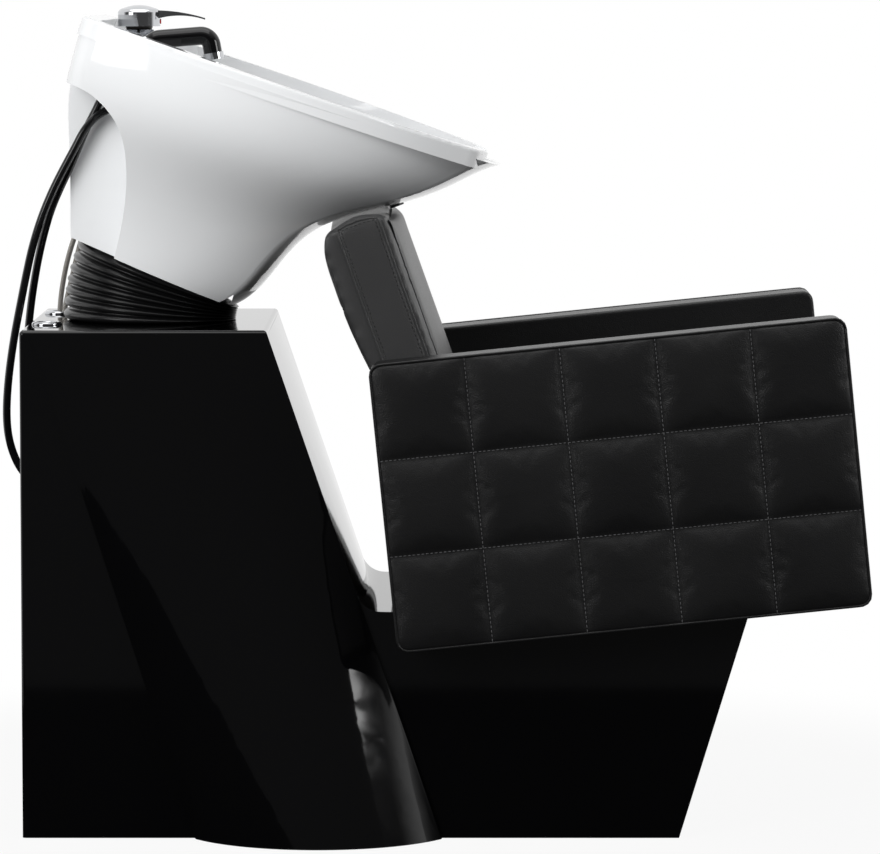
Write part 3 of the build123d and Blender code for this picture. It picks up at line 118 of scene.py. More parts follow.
def leatherGrainGroup():
    tree, given, result = newGroup(
        "leatherGrain",
        [("Place", "NodeSocketVector", None), ("Pebble Scale", "NodeSocketFloat", 900.0)],
        [("Height", "NodeSocketFloat"), ("Tone", "NodeSocketFloat")],
    )
    pebbles = tree.nodes.new("ShaderNodeTexVoronoi")
    pebbles.feature = "SMOOTH_F1"
    tree.links.new(given.outputs["Place"], pebbles.inputs["Vector"])
    tree.links.new(given.outputs["Pebble Scale"], pebbles.inputs["Scale"])
    folds = tree.nodes.new("ShaderNodeTexNoise")
    folds.inputs["Scale"].default_value = 160
    folds.inputs["Detail"].default_value = 3
    tree.links.new(given.outputs["Place"], folds.inputs["Vector"])
    height = mathNode(tree, "MULTIPLY", pebbles.outputs["Distance"], 0.7)
    creases = mathNode(tree, "MULTIPLY", folds.outputs["Fac"], 0.6)
    tree.links.new(mathNode(tree, "SUBTRACT", creases, height), result.inputs["Height"])
    shade = tree.nodes.new("ShaderNodeTexNoise")
    shade.inputs["Scale"].default_value = 9
    tree.links.new(given.outputs["Place"], shade.inputs["Vector"])
    tree.links.new(shade.outputs["Fac"], result.inputs["Tone"])
    return tree


def brushedGroup():
    tree, given, result = newGroup(
        "brushedMetal",
        [("Place", "NodeSocketVector", None), ("Stretch", "NodeSocketVector", (30.0, 600.0, 600.0))],
        [("Height", "NodeSocketFloat"), ("Tone", "NodeSocketFloat")],
    )
    stretched = tree.nodes.new("ShaderNodeVectorMath")
    stretched.operation = "MULTIPLY"
    tree.links.new(given.outputs["Place"], stretched.inputs[0])
    tree.links.new(given.outputs["Stretch"], stretched.inputs[1])
    strokes = tree.nodes.new("ShaderNodeTexNoise")
    strokes.inputs["Scale"].default_value = 1
    strokes.inputs["Detail"].default_value = 4
    tree.links.new(stretched.outputs[0], strokes.inputs["Vector"])
    tree.links.new(strokes.outputs["Fac"], result.inputs["Height"])
    tree.links.new(strokes.outputs["Fac"], result.inputs["Tone"])
    return tree


def braidGroup():
    tree, given, result = newGroup(
        "braidWeave",
        [("Place", "NodeSocketVector", None), ("Strand Scale", "NodeSocketFloat", 190.0)],
        [("Height", "NodeSocketFloat"), ("Tone", "NodeSocketFloat")],
    )
    heights = []
    for turn in (0.9, -0.9):
        turned = tree.nodes.new("ShaderNodeVectorRotate")
        turned.rotation_type = "Y_AXIS"
        turned.inputs["Angle"].default_value = turn
        tree.links.new(given.outputs["Place"], turned.inputs["Vector"])
        strands = tree.nodes.new("ShaderNodeTexWave")
        strands.bands_direction = "X"
        tree.links.new(turned.outputs["Vector"], strands.inputs["Vector"])
        tree.links.new(given.outputs["Strand Scale"], strands.inputs["Scale"])
        heights.append(strands.outputs["Fac"])
    woven = mathNode(tree, "MAXIMUM", heights[0], heights[1])
    tree.links.new(woven, result.inputs["Height"])
    tree.links.new(woven, result.inputs["Tone"])
    return tree


def plyGroup():
    tree, given, result = newGroup(
        "plyGrain",
        [("Place", "NodeSocketVector", None), ("Ring Scale", "NodeSocketFloat", 14.0)],
        [("Height", "NodeSocketFloat"), ("Tone", "NodeSocketFloat")],
    )
    rings = tree.nodes.new("ShaderNodeTexWave")
    rings.bands_direction = "Z"
    rings.inputs["Distortion"].default_value = 5
    rings.inputs["Detail"].default_value = 3
    tree.links.new(given.outputs["Place"], rings.inputs["Vector"])
    tree.links.new(given.outputs["Ring Scale"], rings.inputs["Scale"])
    tree.links.new(rings.outputs["Fac"], result.inputs["Height"])
    tree.links.new(rings.outputs["Fac"], result.inputs["Tone"])
    return tree


def enamelGroup():
    tree, given, result = newGroup(
        "enamelFlow",
        [("Place", "NodeSocketVector", None), ("Wave Scale", "NodeSocketFloat", 14.0)],
        [("Height", "NodeSocketFloat"), ("Tone", "NodeSocketFloat")],
    )
    flow = tree.nodes.new("ShaderNodeTexNoise")
    flow.inputs["Detail"].default_value = 1
    tree.links.new(given.outputs["Place"], flow.inputs["Vector"])
    tree.links.new(given.outputs["Wave Scale"], flow.inputs["Scale"])
    dust = tree.nodes.new("ShaderNodeTexNoise")
    dust.inputs["Scale"].default_value = 60
    dust.inputs["Detail"].default_value = 5
    tree.links.new(given.outputs["Place"], dust.inputs["Vector"])
    tree.links.new(flow.outputs["Fac"], result.inputs["Height"])
    tree.links.new(dust.outputs["Fac"], result.inputs["Tone"])
    return tree


textureGroups = {
    "leather": leatherGrainGroup(),
    "brushed": brushedGroup(),
    "braid": braidGroup(),
    "ply": plyGroup(),
    "enamel": enamelGroup(),
}


# One finish: a shader whose colour and roughness swing a little with a texture group's tone
def makeFinish(name, settings):
    finish = bpy.data.materials.new(name)
    finish.use_nodes = True
    tree = finish.node_tree
    shader = next(node for node in tree.nodes if node.type == "BSDF_PRINCIPLED")
    for label, value in settings.get("shader", {}).items():
        shader.inputs[label].default_value = value
    shader.inputs["Base Color"].default_value = (*settings["colour"], 1)
    if "texture" in settings:
        place = tree.nodes.new("ShaderNodeTexCoord")
        texture = tree.nodes.new("ShaderNodeGroup")
        texture.node_tree = textureGroups[settings["texture"]]
        tree.links.new(place.outputs["Object"], texture.inputs["Place"])
        for label, value in settings.get("textureInputs", {}).items():
            texture.inputs[label].default_value = value
        if settings.get("bump"):
            bump = tree.nodes.new("ShaderNodeBump")
            bump.inputs["Strength"].default_value = settings["bump"]
            bump.inputs["Distance"].default_value = settings["bumpDepth"]
            tree.links.new(texture.outputs["Height"], bump.inputs["Height"])
            tree.links.new(bump.outputs["Normal"], shader.inputs["Normal"])
        if "secondColour" in settings:
            mixer = tree.nodes.new("ShaderNodeMix")
            mixer.data_type = "RGBA"
            mixer.inputs[6].default_value = (*settings["colour"], 1)
            mixer.inputs[7].default_value = (*settings["secondColour"], 1)
            tree.links.new(texture.outputs["Tone"], mixer.inputs[0])
            tree.links.new(mixer.outputs[2], shader.inputs["Base Color"])
        if "roughRange" in settings:
            low, high = settings["roughRange"]
            rough = tree.nodes.new("ShaderNodeMapRange")
            rough.inputs["To Min"].default_value = low
            rough.inputs["To Max"].default_value = high
            tree.links.new(texture.outputs["Tone"], rough.inputs["Value"])
            tree.links.new(rough.outputs[0], shader.inputs["Roughness"])
    return finish


finishes = {
    "gloss_black": makeFinish("glossBlackShell", {
        "colour": (0.0016, 0.0016, 0.0018), "texture": "enamel", "bump": 0.012, "bumpDepth": 0.001,
        "roughRange": (0.04, 0.07), "shader": {"Specular IOR Level": 0.45},
    }),
    "white_ceramic": makeFinish("glazedCeramic", {
        "colour": (0.78, 0.79, 0.80), "texture": "enamel", "bump": 0.03, "bumpDepth": 0.001,
        "roughRange": (0.06, 0.1), "shader": {"Coat Weight": 0.3, "Coat Roughness": 0.05},
    }),
    "black_leather": makeFinish("blackLeather", {
        "colour": (0.0042, 0.0042, 0.0045), "secondColour": (0.0078, 0.0078, 0.008), "texture": "leather",
        "bump": 0.45, "bumpDepth": 0.0008, "roughRange": (0.35, 0.45), "shader": {"Specular IOR Level": 0.44},
    }),
    "chrome": makeFinish("polishedChrome", {
        "colour": (0.60, 0.61, 0.63), "texture": "enamel", "roughRange": (0.05, 0.09),
        "shader": {"Metallic": 1.0},
    }),
    "steel": makeFinish("zincSteel", {
        "colour": (0.42, 0.43, 0.45), "secondColour": (0.55, 0.56, 0.58), "texture": "brushed",
        "bump": 0.08, "bumpDepth": 0.0004, "roughRange": (0.28, 0.42), "shader": {"Metallic": 1.0},
    }),
    "steel_plate": makeFinish("plateSteel", {
        "colour": (0.30, 0.31, 0.32), "secondColour": (0.40, 0.41, 0.42), "texture": "brushed",
        "bump": 0.1, "bumpDepth": 0.0005, "roughRange": (0.35, 0.5), "shader": {"Metallic": 1.0},
    }),
    "steel_frame": makeFinish("paintedFrame", {
        "colour": (0.030, 0.031, 0.033), "texture": "enamel", "bump": 0.1, "bumpDepth": 0.0006,
        "roughRange": (0.38, 0.5),
    }),
    "black_rubber": makeFinish("blackRubber", {
        "colour": (0.0045, 0.0045, 0.0048), "texture": "enamel", "roughRange": (0.24, 0.34),
    }),
    "black_plastic": makeFinish("blackPlastic", {
        "colour": (0.012, 0.012, 0.013), "texture": "enamel", "roughRange": (0.3, 0.42),
    }),
    "grey_plastic": makeFinish("greyPlastic", {
        "colour": (0.20, 0.205, 0.21), "texture": "enamel", "roughRange": (0.3, 0.4),
    }),
    "gloss_plastic_black": makeFinish("glossPlastic", {
        "colour": (0.002, 0.002, 0.0023), "texture": "enamel", "roughRange": (0.07, 0.11),
        "shader": {"Specular IOR Level": 0.42},
    }),
    "red_plastic": makeFinish("redPlastic", {
        "colour": (0.55, 0.012, 0.012), "texture": "enamel", "roughRange": (0.2, 0.3),
    }),
    "brass": makeFinish("darkPlatedBrass", {
        "colour": (0.020, 0.019, 0.018), "texture": "enamel", "roughRange": (0.2, 0.3),
        "shader": {"Metallic": 1.0},
    }),
    "black_hose": makeFinish("glossHose", {
        "colour": (0.0035, 0.0035, 0.0038), "texture": "enamel", "roughRange": (0.1, 0.16),
        "shader": {"Specular IOR Level": 0.6},
    }),
    "braided_steel": makeFinish("braidedSteel", {
        "colour": (0.14, 0.13, 0.12), "secondColour": (0.46, 0.44, 0.41), "texture": "braid",
        "bump": 0.6, "bumpDepth": 0.0008, "roughRange": (0.3, 0.5), "shader": {"Metallic": 0.75},
    }),
    "plywood": makeFinish("birchPly", {
        "colour": (0.42, 0.27, 0.14), "secondColour": (0.58, 0.42, 0.25), "texture": "ply",
        "bump": 0.1, "bumpDepth": 0.0004, "roughRange": (0.5, 0.62),
    }),
}
# A lighter copy of the black leather for the backrest and its piping: the extra lightness is painted light,
# standing for the brighter sheen its faces catch, not a different leather.
paintedLightBackLeather = makeFinish("backrestLeatherPaintedLight", {
    "colour": (0.026, 0.026, 0.0265), "secondColour": (0.038, 0.038, 0.0385), "texture": "leather",
    "bump": 0.45, "bumpDepth": 0.0008, "roughRange": (0.34, 0.44), "shader": {"Specular IOR Level": 0.45},
})
threadFinish = makeFinish("seamThread", {
    "colour": (0.006, 0.006, 0.006), "texture": "enamel", "roughRange": (0.45, 0.6),
})
# Quilt thread painted pale grey: a painted highlight standing for the glints of light along the puckered
# quilting seams, while the edge stitches keep the dark thread.
paintedGlintThreadFinish = makeFinish("quiltThreadPaintedGlint", {
    "colour": (0.085, 0.085, 0.088), "texture": "enamel", "roughRange": (0.4, 0.55),
})

for part in frame["record"]["subparts"]:
    cadNode = cadNodes[part["node"]]
    cadNode.data.materials.clear()
    cadNode.data.materials.append(finishes[part["material_slot"]])
print("finishes ready")


# Hoses: control points in metres for a curve, then a tube along the curve's own line
def centreline(name, route):
    curve = bpy.data.curves.new(name, "CURVE")
    curve.dimensions = "3D"
    spline = curve.splines.new("NURBS")
    spline.points.add(len(route) - 1)
    for point, place in zip(spline.points, route):
        point.co = (*place, 1)
    spline.order_u = 3
    spline.use_endpoint_u = True
    curve.resolution_u = 6
    holder = linkObject(name, curve)
    bpy.context.view_layer.update()
    flat = bpy.data.meshes.new_from_object(holder.evaluated_get(bpy.context.evaluated_depsgraph_get()))
    points = [vertex.co.copy() for vertex in flat.vertices]
    bpy.data.objects.remove(holder)
    bpy.data.curves.remove(curve)
    bpy.data.meshes.remove(flat)
    return points


def pathLength(points):
    return sum((b - a).length for a, b in zip(points, points[1:]))


def tubeObject(name, points, radiusAt, sides=20):
    ringPoints, faces = [], []
    along = (points[1] - points[0]).normalized()
    across = along.orthogonal().normalized()
    travelled = 0
    for step, point in enumerate(points):
        if step:
            travelled += (point - points[step - 1]).length
            ahead = points[min(step + 1, len(points) - 1)] - points[step - 1]
            turn = along.rotation_difference(ahead.normalized())
            across = (turn @ across).normalized()
            along = ahead.normalized()
        up = along.cross(across).normalized()
        radius = radiusAt(travelled)
        for side in range(sides):
            angle = 2 * pi * side / sides
            ringPoints.append(point + (across * cos(angle) + up * sin(angle)) * radius)
    for step in range(len(points) - 1):
        for side in range(sides):
            after = (side + 1) % sides
            low, high = step * sides, (step + 1) * sides
            faces.append((low + side, low + after, high + after, high + side))
    last = (len(points) - 1) * sides
    faces.append(tuple(reversed(range(sides))))
    faces.append(tuple(range(last, last + sides)))
    return meshObject(name, ringPoints, faces)


def evenPath(points, spacing):
    total = pathLength(points)
    count = max(2, round(total / spacing))
    even, step, passed = [points[0].copy()], 0, 0
    for number in range(1, count):
        wanted = total * number / count
        while passed + (points[step + 1] - points[step]).length < wanted:
            passed += (points[step + 1] - points[step]).length
            step += 1
        run = points[step + 1] - points[step]
        even.append(points[step] + run * ((wanted - passed) / run.length))
    even.append(points[-1].copy())
    return even


showerHoseRoute = [
    (-0.2535, -0.1, 0.8979),
    (-0.2591, -0.1, 0.8816),
    (-0.2714, -0.102, 0.8689),
    (-0.2879, -0.107, 0.8624),
    (-0.3049, -0.1125, 0.8529),
    (-0.3184, -0.1145, 0.837),
    (-0.3283, -0.1147, 0.8175),
    (-0.3397, -0.114, 0.797),
    (-0.3555, -0.1135, 0.767),
    (-0.37, -0.111, 0.733),
    (-0.3815, -0.107, 0.697),
    (-0.3895, -0.1015, 0.6627),
    (-0.3965, -0.096, 0.63),
    (-0.4035, -0.091, 0.597),
    (-0.4095, -0.086, 0.563),
    (-0.414, -0.0805, 0.53),
    (-0.4165, -0.0745, 0.4974),
    (-0.4155, -0.069, 0.47),
    (-0.41, -0.064, 0.446),
    (-0.4005, -0.061, 0.4255),
    (-0.386, -0.059, 0.4095),
    (-0.367, -0.058, 0.398),
    (-0.345, -0.0575, 0.39),
    (-0.321, -0.055, 0.385),
    (-0.299, -0.0455, 0.385),
    (-0.286, -0.028, 0.389),
    (-0.283, -0.006, 0.398),
    (-0.293, 0.0125, 0.411),
    (-0.31, 0.022, 0.426),
    (-0.332, 0.024, 0.441),
    (-0.354, 0.023, 0.451),
    (-0.374, 0.0223, 0.458),
    (-0.389, 0.0219, 0.469),
    (-0.3988, 0.0216, 0.484),
    (-0.4016, 0.0213, 0.503),
    (-0.4018, 0.021, 0.527),
    (-0.3995, 0.019, 0.556),
    (-0.3965, 0.013, 0.59),
    (-0.392, 0.0, 0.622),
    (-0.386, -0.02, 0.652),
    (-0.3788, -0.044, 0.682),
    (-0.37, -0.066, 0.7132),
    (-0.36, -0.083, 0.7429),
    (-0.347, -0.093, 0.771),
    (-0.3325, -0.099, 0.8),
    (-0.317, -0.1015, 0.8375),
    (-0.3037, -0.102, 0.8626),
    (-0.2956, -0.0996, 0.8801),
    (-0.2907, -0.0918, 0.8913),
    (-0.2876, -0.079, 0.8987),
    (-0.2866, -0.0635, 0.9),
    (-0.289, -0.036, 0.8918),
    (-0.2923, -0.008, 0.8809),
    (-0.2947, 0.0188, 0.8728),
    (-0.2936, 0.0365, 0.8752),
    (-0.29, 0.0506, 0.8847),
    (-0.285, 0.058, 0.8986),
    (-0.2799, 0.058, 0.9133),
]
supplyHoseRoutes = {
    "supply_hose_hot": [
        (-0.2686, 0.052, 0.9094),
        (-0.2746, 0.052, 0.8917),
        (-0.2815, 0.0585, 0.8729),
        (-0.2888, 0.072, 0.8543),
        (-0.2968, 0.0865, 0.8348),
        (-0.3062, 0.095, 0.8106),
        (-0.3163, 0.0975, 0.7823),
        (-0.3256, 0.0965, 0.7559),
        (-0.3348, 0.096, 0.7294),
        (-0.343, 0.096, 0.706),
        (-0.3525, 0.0965, 0.678),
        (-0.359, 0.0985, 0.65),
        (-0.3635, 0.1015, 0.622),
        (-0.365, 0.103, 0.596),
        (-0.364, 0.1025, 0.566),
        (-0.359, 0.101, 0.538),
        (-0.351, 0.099, 0.512),
        (-0.341, 0.097, 0.489),
    ],
    "supply_hose_cold": [
        (-0.2653, 0.065, 0.9082),
        (-0.2713, 0.065, 0.8906),
        (-0.2771, 0.07, 0.8714),
        (-0.2832, 0.079, 0.8502),
        (-0.2896, 0.088, 0.8281),
        (-0.2982, 0.093, 0.8025),
        (-0.3077, 0.0945, 0.7772),
        (-0.3176, 0.0942, 0.7521),
        (-0.326, 0.0941, 0.729),
        (-0.3365, 0.094, 0.698),
        (-0.344, 0.0943, 0.669),
        (-0.3505, 0.095, 0.641),
        (-0.3575, 0.0959, 0.614),
        (-0.3615, 0.0962, 0.586),
        (-0.361, 0.094, 0.558),
        (-0.356, 0.09, 0.531),
        (-0.3475, 0.0845, 0.506),
        (-0.337, 0.078, 0.484),
    ],
}
hoseSettings = {
    "shower": {"radius": 0.0048, "bendStart": (-0.33, 0, 0.90), "bendEnd": (-0.33, 0, 0.50)},
    "supply": {"radius": 0.0032, "bendStart": (-0.33, 0, 0.90), "bendEnd": (-0.33, 0, 0.605)},
    "waste": {"radius": 0.016, "rib": 0.0009, "ribSpacing": 0.006, "runs": (28, 34, 38, 38, 36), "lean": 19,
              "shares": (1, 0.66, 0.34, 0.08, -0.1), "start": (-0.20384, 0, 0.66426),
              "bendStart": (-0.2, 0, 0.65), "bendEnd": (-0.2, 0, 0.5), "spacing": 0.001},
}


def addHose(name, node, route, radiusAt, slotName, spacing=None):
    line = centreline(name + "Line", route)
    if spacing:
        line = evenPath(line, spacing)
    hose = tubeObject(name, line, radiusAt, 24)
    finishPiece(hose, finishes[slotName])
    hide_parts(node)
    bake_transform(hose)
    return hose


shower = hoseSettings["shower"]
addHose("showerHose", "shower_hose", showerHoseRoute, lambda travelled: shower["radius"],
        "black_hose")
supply = hoseSettings["supply"]
for node, route in supplyHoseRoutes.items():
    pieceName = "supplyHose" + node.split("_")[-1].capitalize()
    addHose(pieceName, node, route, lambda travelled: supply["radius"], "braided_steel")
waste = hoseSettings["waste"]
wasteRoute = [Vector(waste["start"])]
for run, share in zip(waste["runs"], waste["shares"]):
    lean = radians(waste["lean"] * share)
    wasteRoute.append(wasteRoute[-1] + Vector((-run * sin(lean), 0, -run * cos(lean))) / 1000)


def wasteRadius(travelled):
    return waste["radius"] - waste["rib"] * (0.5 + 0.5 * cos(2 * pi * travelled / waste["ribSpacing"]))


addHose("wasteHose", "waste_hose", [tuple(point) for point in wasteRoute], wasteRadius,
        "black_rubber", spacing=waste["spacing"])
print("hoses ready")


# Stitches: a Geometry Nodes tree that lays one thread bead at each step of a path
def stitchTree():
    tree = bpy.data.node_groups.new("threadBeads", "GeometryNodeTree")
    tree.interface.new_socket("Geometry", in_out="INPUT", socket_type="NodeSocketGeometry")
    for label, value in (("Stitch Spacing", 0.0055), ("Thread Radius", 0.0005), ("Bead Half Length", 0.0021)):
        tree.interface.new_socket(label, in_out="INPUT", socket_type="NodeSocketFloat").default_value = value
    tree.interface.new_socket("Thread Finish", in_out="INPUT", socket_type="NodeSocketMaterial")
    tree.interface.new_socket("Geometry", in_out="OUTPUT", socket_type="NodeSocketGeometry")
    given = tree.nodes.new("NodeGroupInput")
    result = tree.nodes.new("NodeGroupOutput")
    path = tree.nodes.new("GeometryNodeMeshToCurve")
    even = tree.nodes.new("GeometryNodeResampleCurve")
    even.mode = "LENGTH"
    tangent = tree.nodes.new("GeometryNodeInputTangent")
    aligned = tree.nodes.new("FunctionNodeAlignRotationToVector")
    aligned.axis = "Z"
    bead = tree.nodes.new("GeometryNodeMeshUVSphere")
    bead.inputs["Segments"].default_value = 6
    bead.inputs["Rings"].default_value = 4
    bead.inputs["Radius"].default_value = 1
    size = tree.nodes.new("ShaderNodeCombineXYZ")
    laid = tree.nodes.new("GeometryNodeInstanceOnPoints")
    real = tree.nodes.new("GeometryNodeRealizeInstances")
    dressed = tree.nodes.new("GeometryNodeSetMaterial")
    links = tree.links
    links.new(given.outputs["Geometry"], path.inputs["Mesh"])
    links.new(path.outputs["Curve"], even.inputs["Curve"])
    links.new(given.outputs["Stitch Spacing"], even.inputs["Length"])
    links.new(tangent.outputs["Tangent"], aligned.inputs["Vector"])
    links.new(given.outputs["Thread Radius"], size.inputs["X"])
    links.new(given.outputs["Thread Radius"], size.inputs["Y"])
    links.new(given.outputs["Bead Half Length"], size.inputs["Z"])
    links.new(even.outputs["Curve"], laid.inputs["Points"])
    links.new(bead.outputs["Mesh"], laid.inputs["Instance"])
    links.new(aligned.outputs["Rotation"], laid.inputs["Rotation"])
    links.new(size.outputs["Vector"], laid.inputs["Scale"])
    links.new(laid.outputs["Instances"], real.inputs["Geometry"])
    links.new(real.outputs["Geometry"], dressed.inputs["Geometry"])
    links.new(given.outputs["Thread Finish"], dressed.inputs["Material"])
    links.new(dressed.outputs["Geometry"], result.inputs["Geometry"])
    return tree


threadBeads = stitchTree()
threadInputs = [item for item in threadBeads.interface.items_tree if item.in_out == "INPUT"]
threadSockets = {item.name: item.identifier for item in threadInputs}


def addStitches(name, paths, finish, values, body="base"):
    points, edges = [], []
    for path in paths:
        first = len(points)
        points += [tuple(point) for point in path]
        edges += [(first + step, first + step + 1) for step in range(len(path) - 1)]
    mesh = bpy.data.meshes.new(name + "Path")
    mesh.from_pydata(points, edges, [])
    holder = linkObject(name + "Path", mesh)
    beads = holder.modifiers.new("threadBeads", "NODES")
    beads.node_group = threadBeads
    for label, value in values.items():
        beads[threadSockets[label]] = value
    beads[threadSockets["Thread Finish"]] = finish
    bpy.context.view_layer.update()
    sewn = bpy.data.meshes.new_from_object(holder.evaluated_get(bpy.context.evaluated_depsgraph_get()))
    holder.modifiers.remove(beads)
    bpy.data.objects.remove(holder)
    sewn.polygons.foreach_set("use_smooth", [True] * len(sewn.polygons))
    return finishPiece(linkObject(name, sewn), finish, body)


# Bellows: ribs that fan out from a line at the base top, tight at the front and stretched at the rear
bellowsForm = {"hinge": (-102, 604), "fan": 23.85, "reach": 250, "near": 40, "foldDepth": 10, "wall": 1.4,
               "ribs": (0.0, 0.155, 0.30, 0.43, 0.56, 0.70, 0.845, 1.0), "around": 96, "perRib": 10,
               "fullness": 0.55, "bendStart": (-0.247, 0, 0.668), "bendEnd": (-0.247, 0, 0.606)}


def bellowsPlace(share, turn, radius):
    angle = radians(bellowsForm["fan"] * share)
    out = (bellowsForm["reach"] + bellowsForm["near"]) / 2 - radius * cos(turn)
    x = bellowsForm["hinge"][0] - out * cos(angle)
    z = bellowsForm["hinge"][1] + out * sin(angle)
    return Vector((x, radius * sin(turn), z)) / 1000


def addBellows():
    full = (bellowsForm["reach"] - bellowsForm["near"]) / 2
    rings = []
    for low, high in zip(bellowsForm["ribs"], bellowsForm["ribs"][1:]):
        for step in range(bellowsForm["perRib"]):
            share = step / bellowsForm["perRib"]
            fold = bellowsForm["foldDepth"] * (1 - sin(pi * share) ** bellowsForm["fullness"])
            rings.append((low + (high - low) * share, full - fold))
    rings.append((1.0, full - bellowsForm["foldDepth"]))
    around = bellowsForm["around"]
    points = [bellowsPlace(share, 2 * pi * side / around, radius)
              for share, radius in rings for side in range(around)]
    points += [bellowsPlace(share, 2 * pi * side / around, radius - bellowsForm["wall"])
               for share, radius in rings for side in range(around)]
    faces, inside, last = [], len(rings) * around, (len(rings) - 1) * around
    for side in range(around):
        after = (side + 1) % around
        for ring in range(len(rings) - 1):
            low, high = ring * around, (ring + 1) * around
            faces.append((low + side, high + side, high + after, low + after))
            faces.append([inside + index for index in (low + side, low + after, high + after, high + side)])
        faces.append((side, after, inside + after, inside + side))
        faces.append((last + side, inside + last + side, inside + last + after, last + after))
    skin = meshObject("bellowsSkin", points, faces)
    finishPiece(skin, finishes["black_rubber"])
    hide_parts("bellows")
    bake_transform(skin)


addBellows()
print("bellows ready")


# Chair frames: points given as the CAD gives them, in millimetres along the chair or the backrest
chairFrame = {"rear": (57, 233), "pitch": radians(5.8)}
backFrame = {"top": (-16, 724), "lean": radians(19.6)}


def chairPoint(u, y, v):
    x = chairFrame["rear"][0] + u * cos(chairFrame["pitch"]) - v * sin(chairFrame["pitch"])
    z = chairFrame["rear"][1] + u * sin(chairFrame["pitch"]) + v * cos(chairFrame["pitch"])
    return Vector((x, y, z)) / 1000


def backPoint(n, y, t):
    x = backFrame["top"][0] + n * cos(backFrame["lean"]) - t * sin(backFrame["lean"])
    z = backFrame["top"][1] + n * sin(backFrame["lean"]) + t * cos(backFrame["lean"])
    return Vector((x, y, z)) / 1000


# Blows a closed mesh up as a stuffed cover, holding the pinned points and capping each move
def plump(obj, pressure, cap, pinned=None, swell=0.0, frames=18):
    before = [vertex.co.copy() for vertex in obj.data.vertices]
    cloth = obj.modifiers.new("stuffing", "CLOTH")
    settings = cloth.settings
    settings.use_pressure = True
    settings.uniform_pressure_force = pressure
    settings.effector_weights.gravity = 0
    settings.shrink_min = -swell
    settings.quality = 5
    if pinned:
        group = obj.vertex_groups.new(name="seams")
        group.add(pinned, 1.0, "REPLACE")
        settings.vertex_group_mass = "seams"
    cloth.collision_settings.use_collision = False
    for number in range(1, frames + 1):
        scene.frame_set(number)
    bpy.context.view_layer.update()
    blown = bpy.data.meshes.new_from_object(obj.evaluated_get(bpy.context.evaluated_depsgraph_get()))
    after = [vertex.co.copy() for vertex in blown.vertices]
    obj.modifiers.remove(cloth)
    bpy.data.meshes.remove(blown)
    for vertex, old, new in zip(obj.data.vertices, before, after):
        move = new - old
        vertex.co = old + (move.normalized() * cap * tanh(move.length / cap) if move.length > 0 else move)
    scene.frame_set(1)


def subdivide(obj, levels=1):
    smooth = obj.modifiers.new("smoothCover", "SUBSURF")
    smooth.levels = levels
    bpy.context.view_layer.update()
    finer = bpy.data.meshes.new_from_object(obj.evaluated_get(bpy.context.evaluated_depsgraph_get()))
    obj.modifiers.remove(smooth)
    obj.data = finer
    obj.data.polygons.foreach_set("use_smooth", [True] * len(obj.data.polygons))


# Armrests: one quilted cover each, its tiles sewn down along the rows and columns
armrest = {"length": 556, "height": 338, "inner": 226, "outer": 301, "corner": 13, "columns": 5, "rows": 3,
           "sewnDepth": 8.5, "innerGap": 0.3, "start": 5.6, "swellEdge": 3.4, "swellRound": 0.5,
           "step": 4.6, "leastSteps": 8, "bandStep": 7.5, "cornerSteps": 8,
           "stuffing": {"pressure": 1.6, "cap": 0.003, "swell": 0.004}}
quilting = {"lift": 0.95, "end": 4, "upSteps": 80, "alongSteps": 120,
            "thread": {"Stitch Spacing": 0.0052, "Thread Radius": 0.00045, "Bead Half Length": 0.0019}}
edging = {"piping": 0.0016, "pipingInset": 0.6, "pipingLift": 0.4, "pipingSpacing": 0.006,
          "rowInset": -0.1, "rowDrop": 4.2,
          "thread": {"Stitch Spacing": 0.0056, "Thread Radius": 0.00055, "Bead Half Length": 0.0019}}
puckers = {"fold": 0.05, "columnReach": 9, "rowReach": 8, "columnWave": (0.62, 1.7, 0.05, 0.071),
           "rowWave": (0.55, 1.3, 0.06, 0.063), "sag": 0.14, "sagAlong": (0.031, 1.1), "sagUp": (0.043, 0.7),
           "heldReach": 3, "leastHeld": 0.3, "margin": 1}
sewnLevel = armrest["outer"] - armrest["sewnDepth"]
innerLevel = armrest["inner"] + armrest["innerGap"]


def armCells(length, count):
    perTile = max(armrest["leastSteps"], round(length / count / armrest["step"]))
    places = []
    for tile in range(count):
        places += [length * (tile + share / perTile) / count for share in range(perTile)]
    return places + [length], perTile


def roundedPlace(u, v):
    corner = armrest["corner"]
    middleU = min(max(u, corner), armrest["length"] - corner)
    middleV = min(max(v, corner), armrest["height"] - corner)
    away = Vector((u - middleU, v - middleV))
    reach = max(abs(away.x), abs(away.y))
    if away.length > 0 and min(abs(away.x), abs(away.y)) > 0:
        away = away.normalized() * reach
    return middleU + away.x, middleV + away.y


def tileSwell(share):
    return max(0.0, 1 - abs(2 * share - 1) ** armrest["swellEdge"]) ** armrest["swellRound"]


def armBorder(columns, rows):
    border = list(range(columns))
    border += [row * columns + columns - 1 for row in range(1, rows)]
    border += [(rows - 1) * columns + column for column in range(columns - 2, -1, -1)]
    return border + [row * columns for row in range(rows - 2, 0, -1)]


# The band around the armrest, ring by ring from the outer face to the inner one
def addBand(points, faces, outerRing, innerRing, borderPlaces, side):
    bandRows = round((sewnLevel - armrest["inner"]) / armrest["bandStep"])
    previous = outerRing
    for bandRow in range(1, bandRows + 1):
        current = innerRing
        if bandRow < bandRows:
            level = sewnLevel + (innerLevel - sewnLevel) * bandRow / bandRows
            current = list(range(len(points), len(points) + len(borderPlaces)))
            points.extend(chairPoint(u, side * level, v) for u, v in borderPlaces)
        for step in range(len(current)):
            after = (step + 1) % len(current)
            faces.append([previous[after], previous[step], current[step], current[after]])
        previous = current


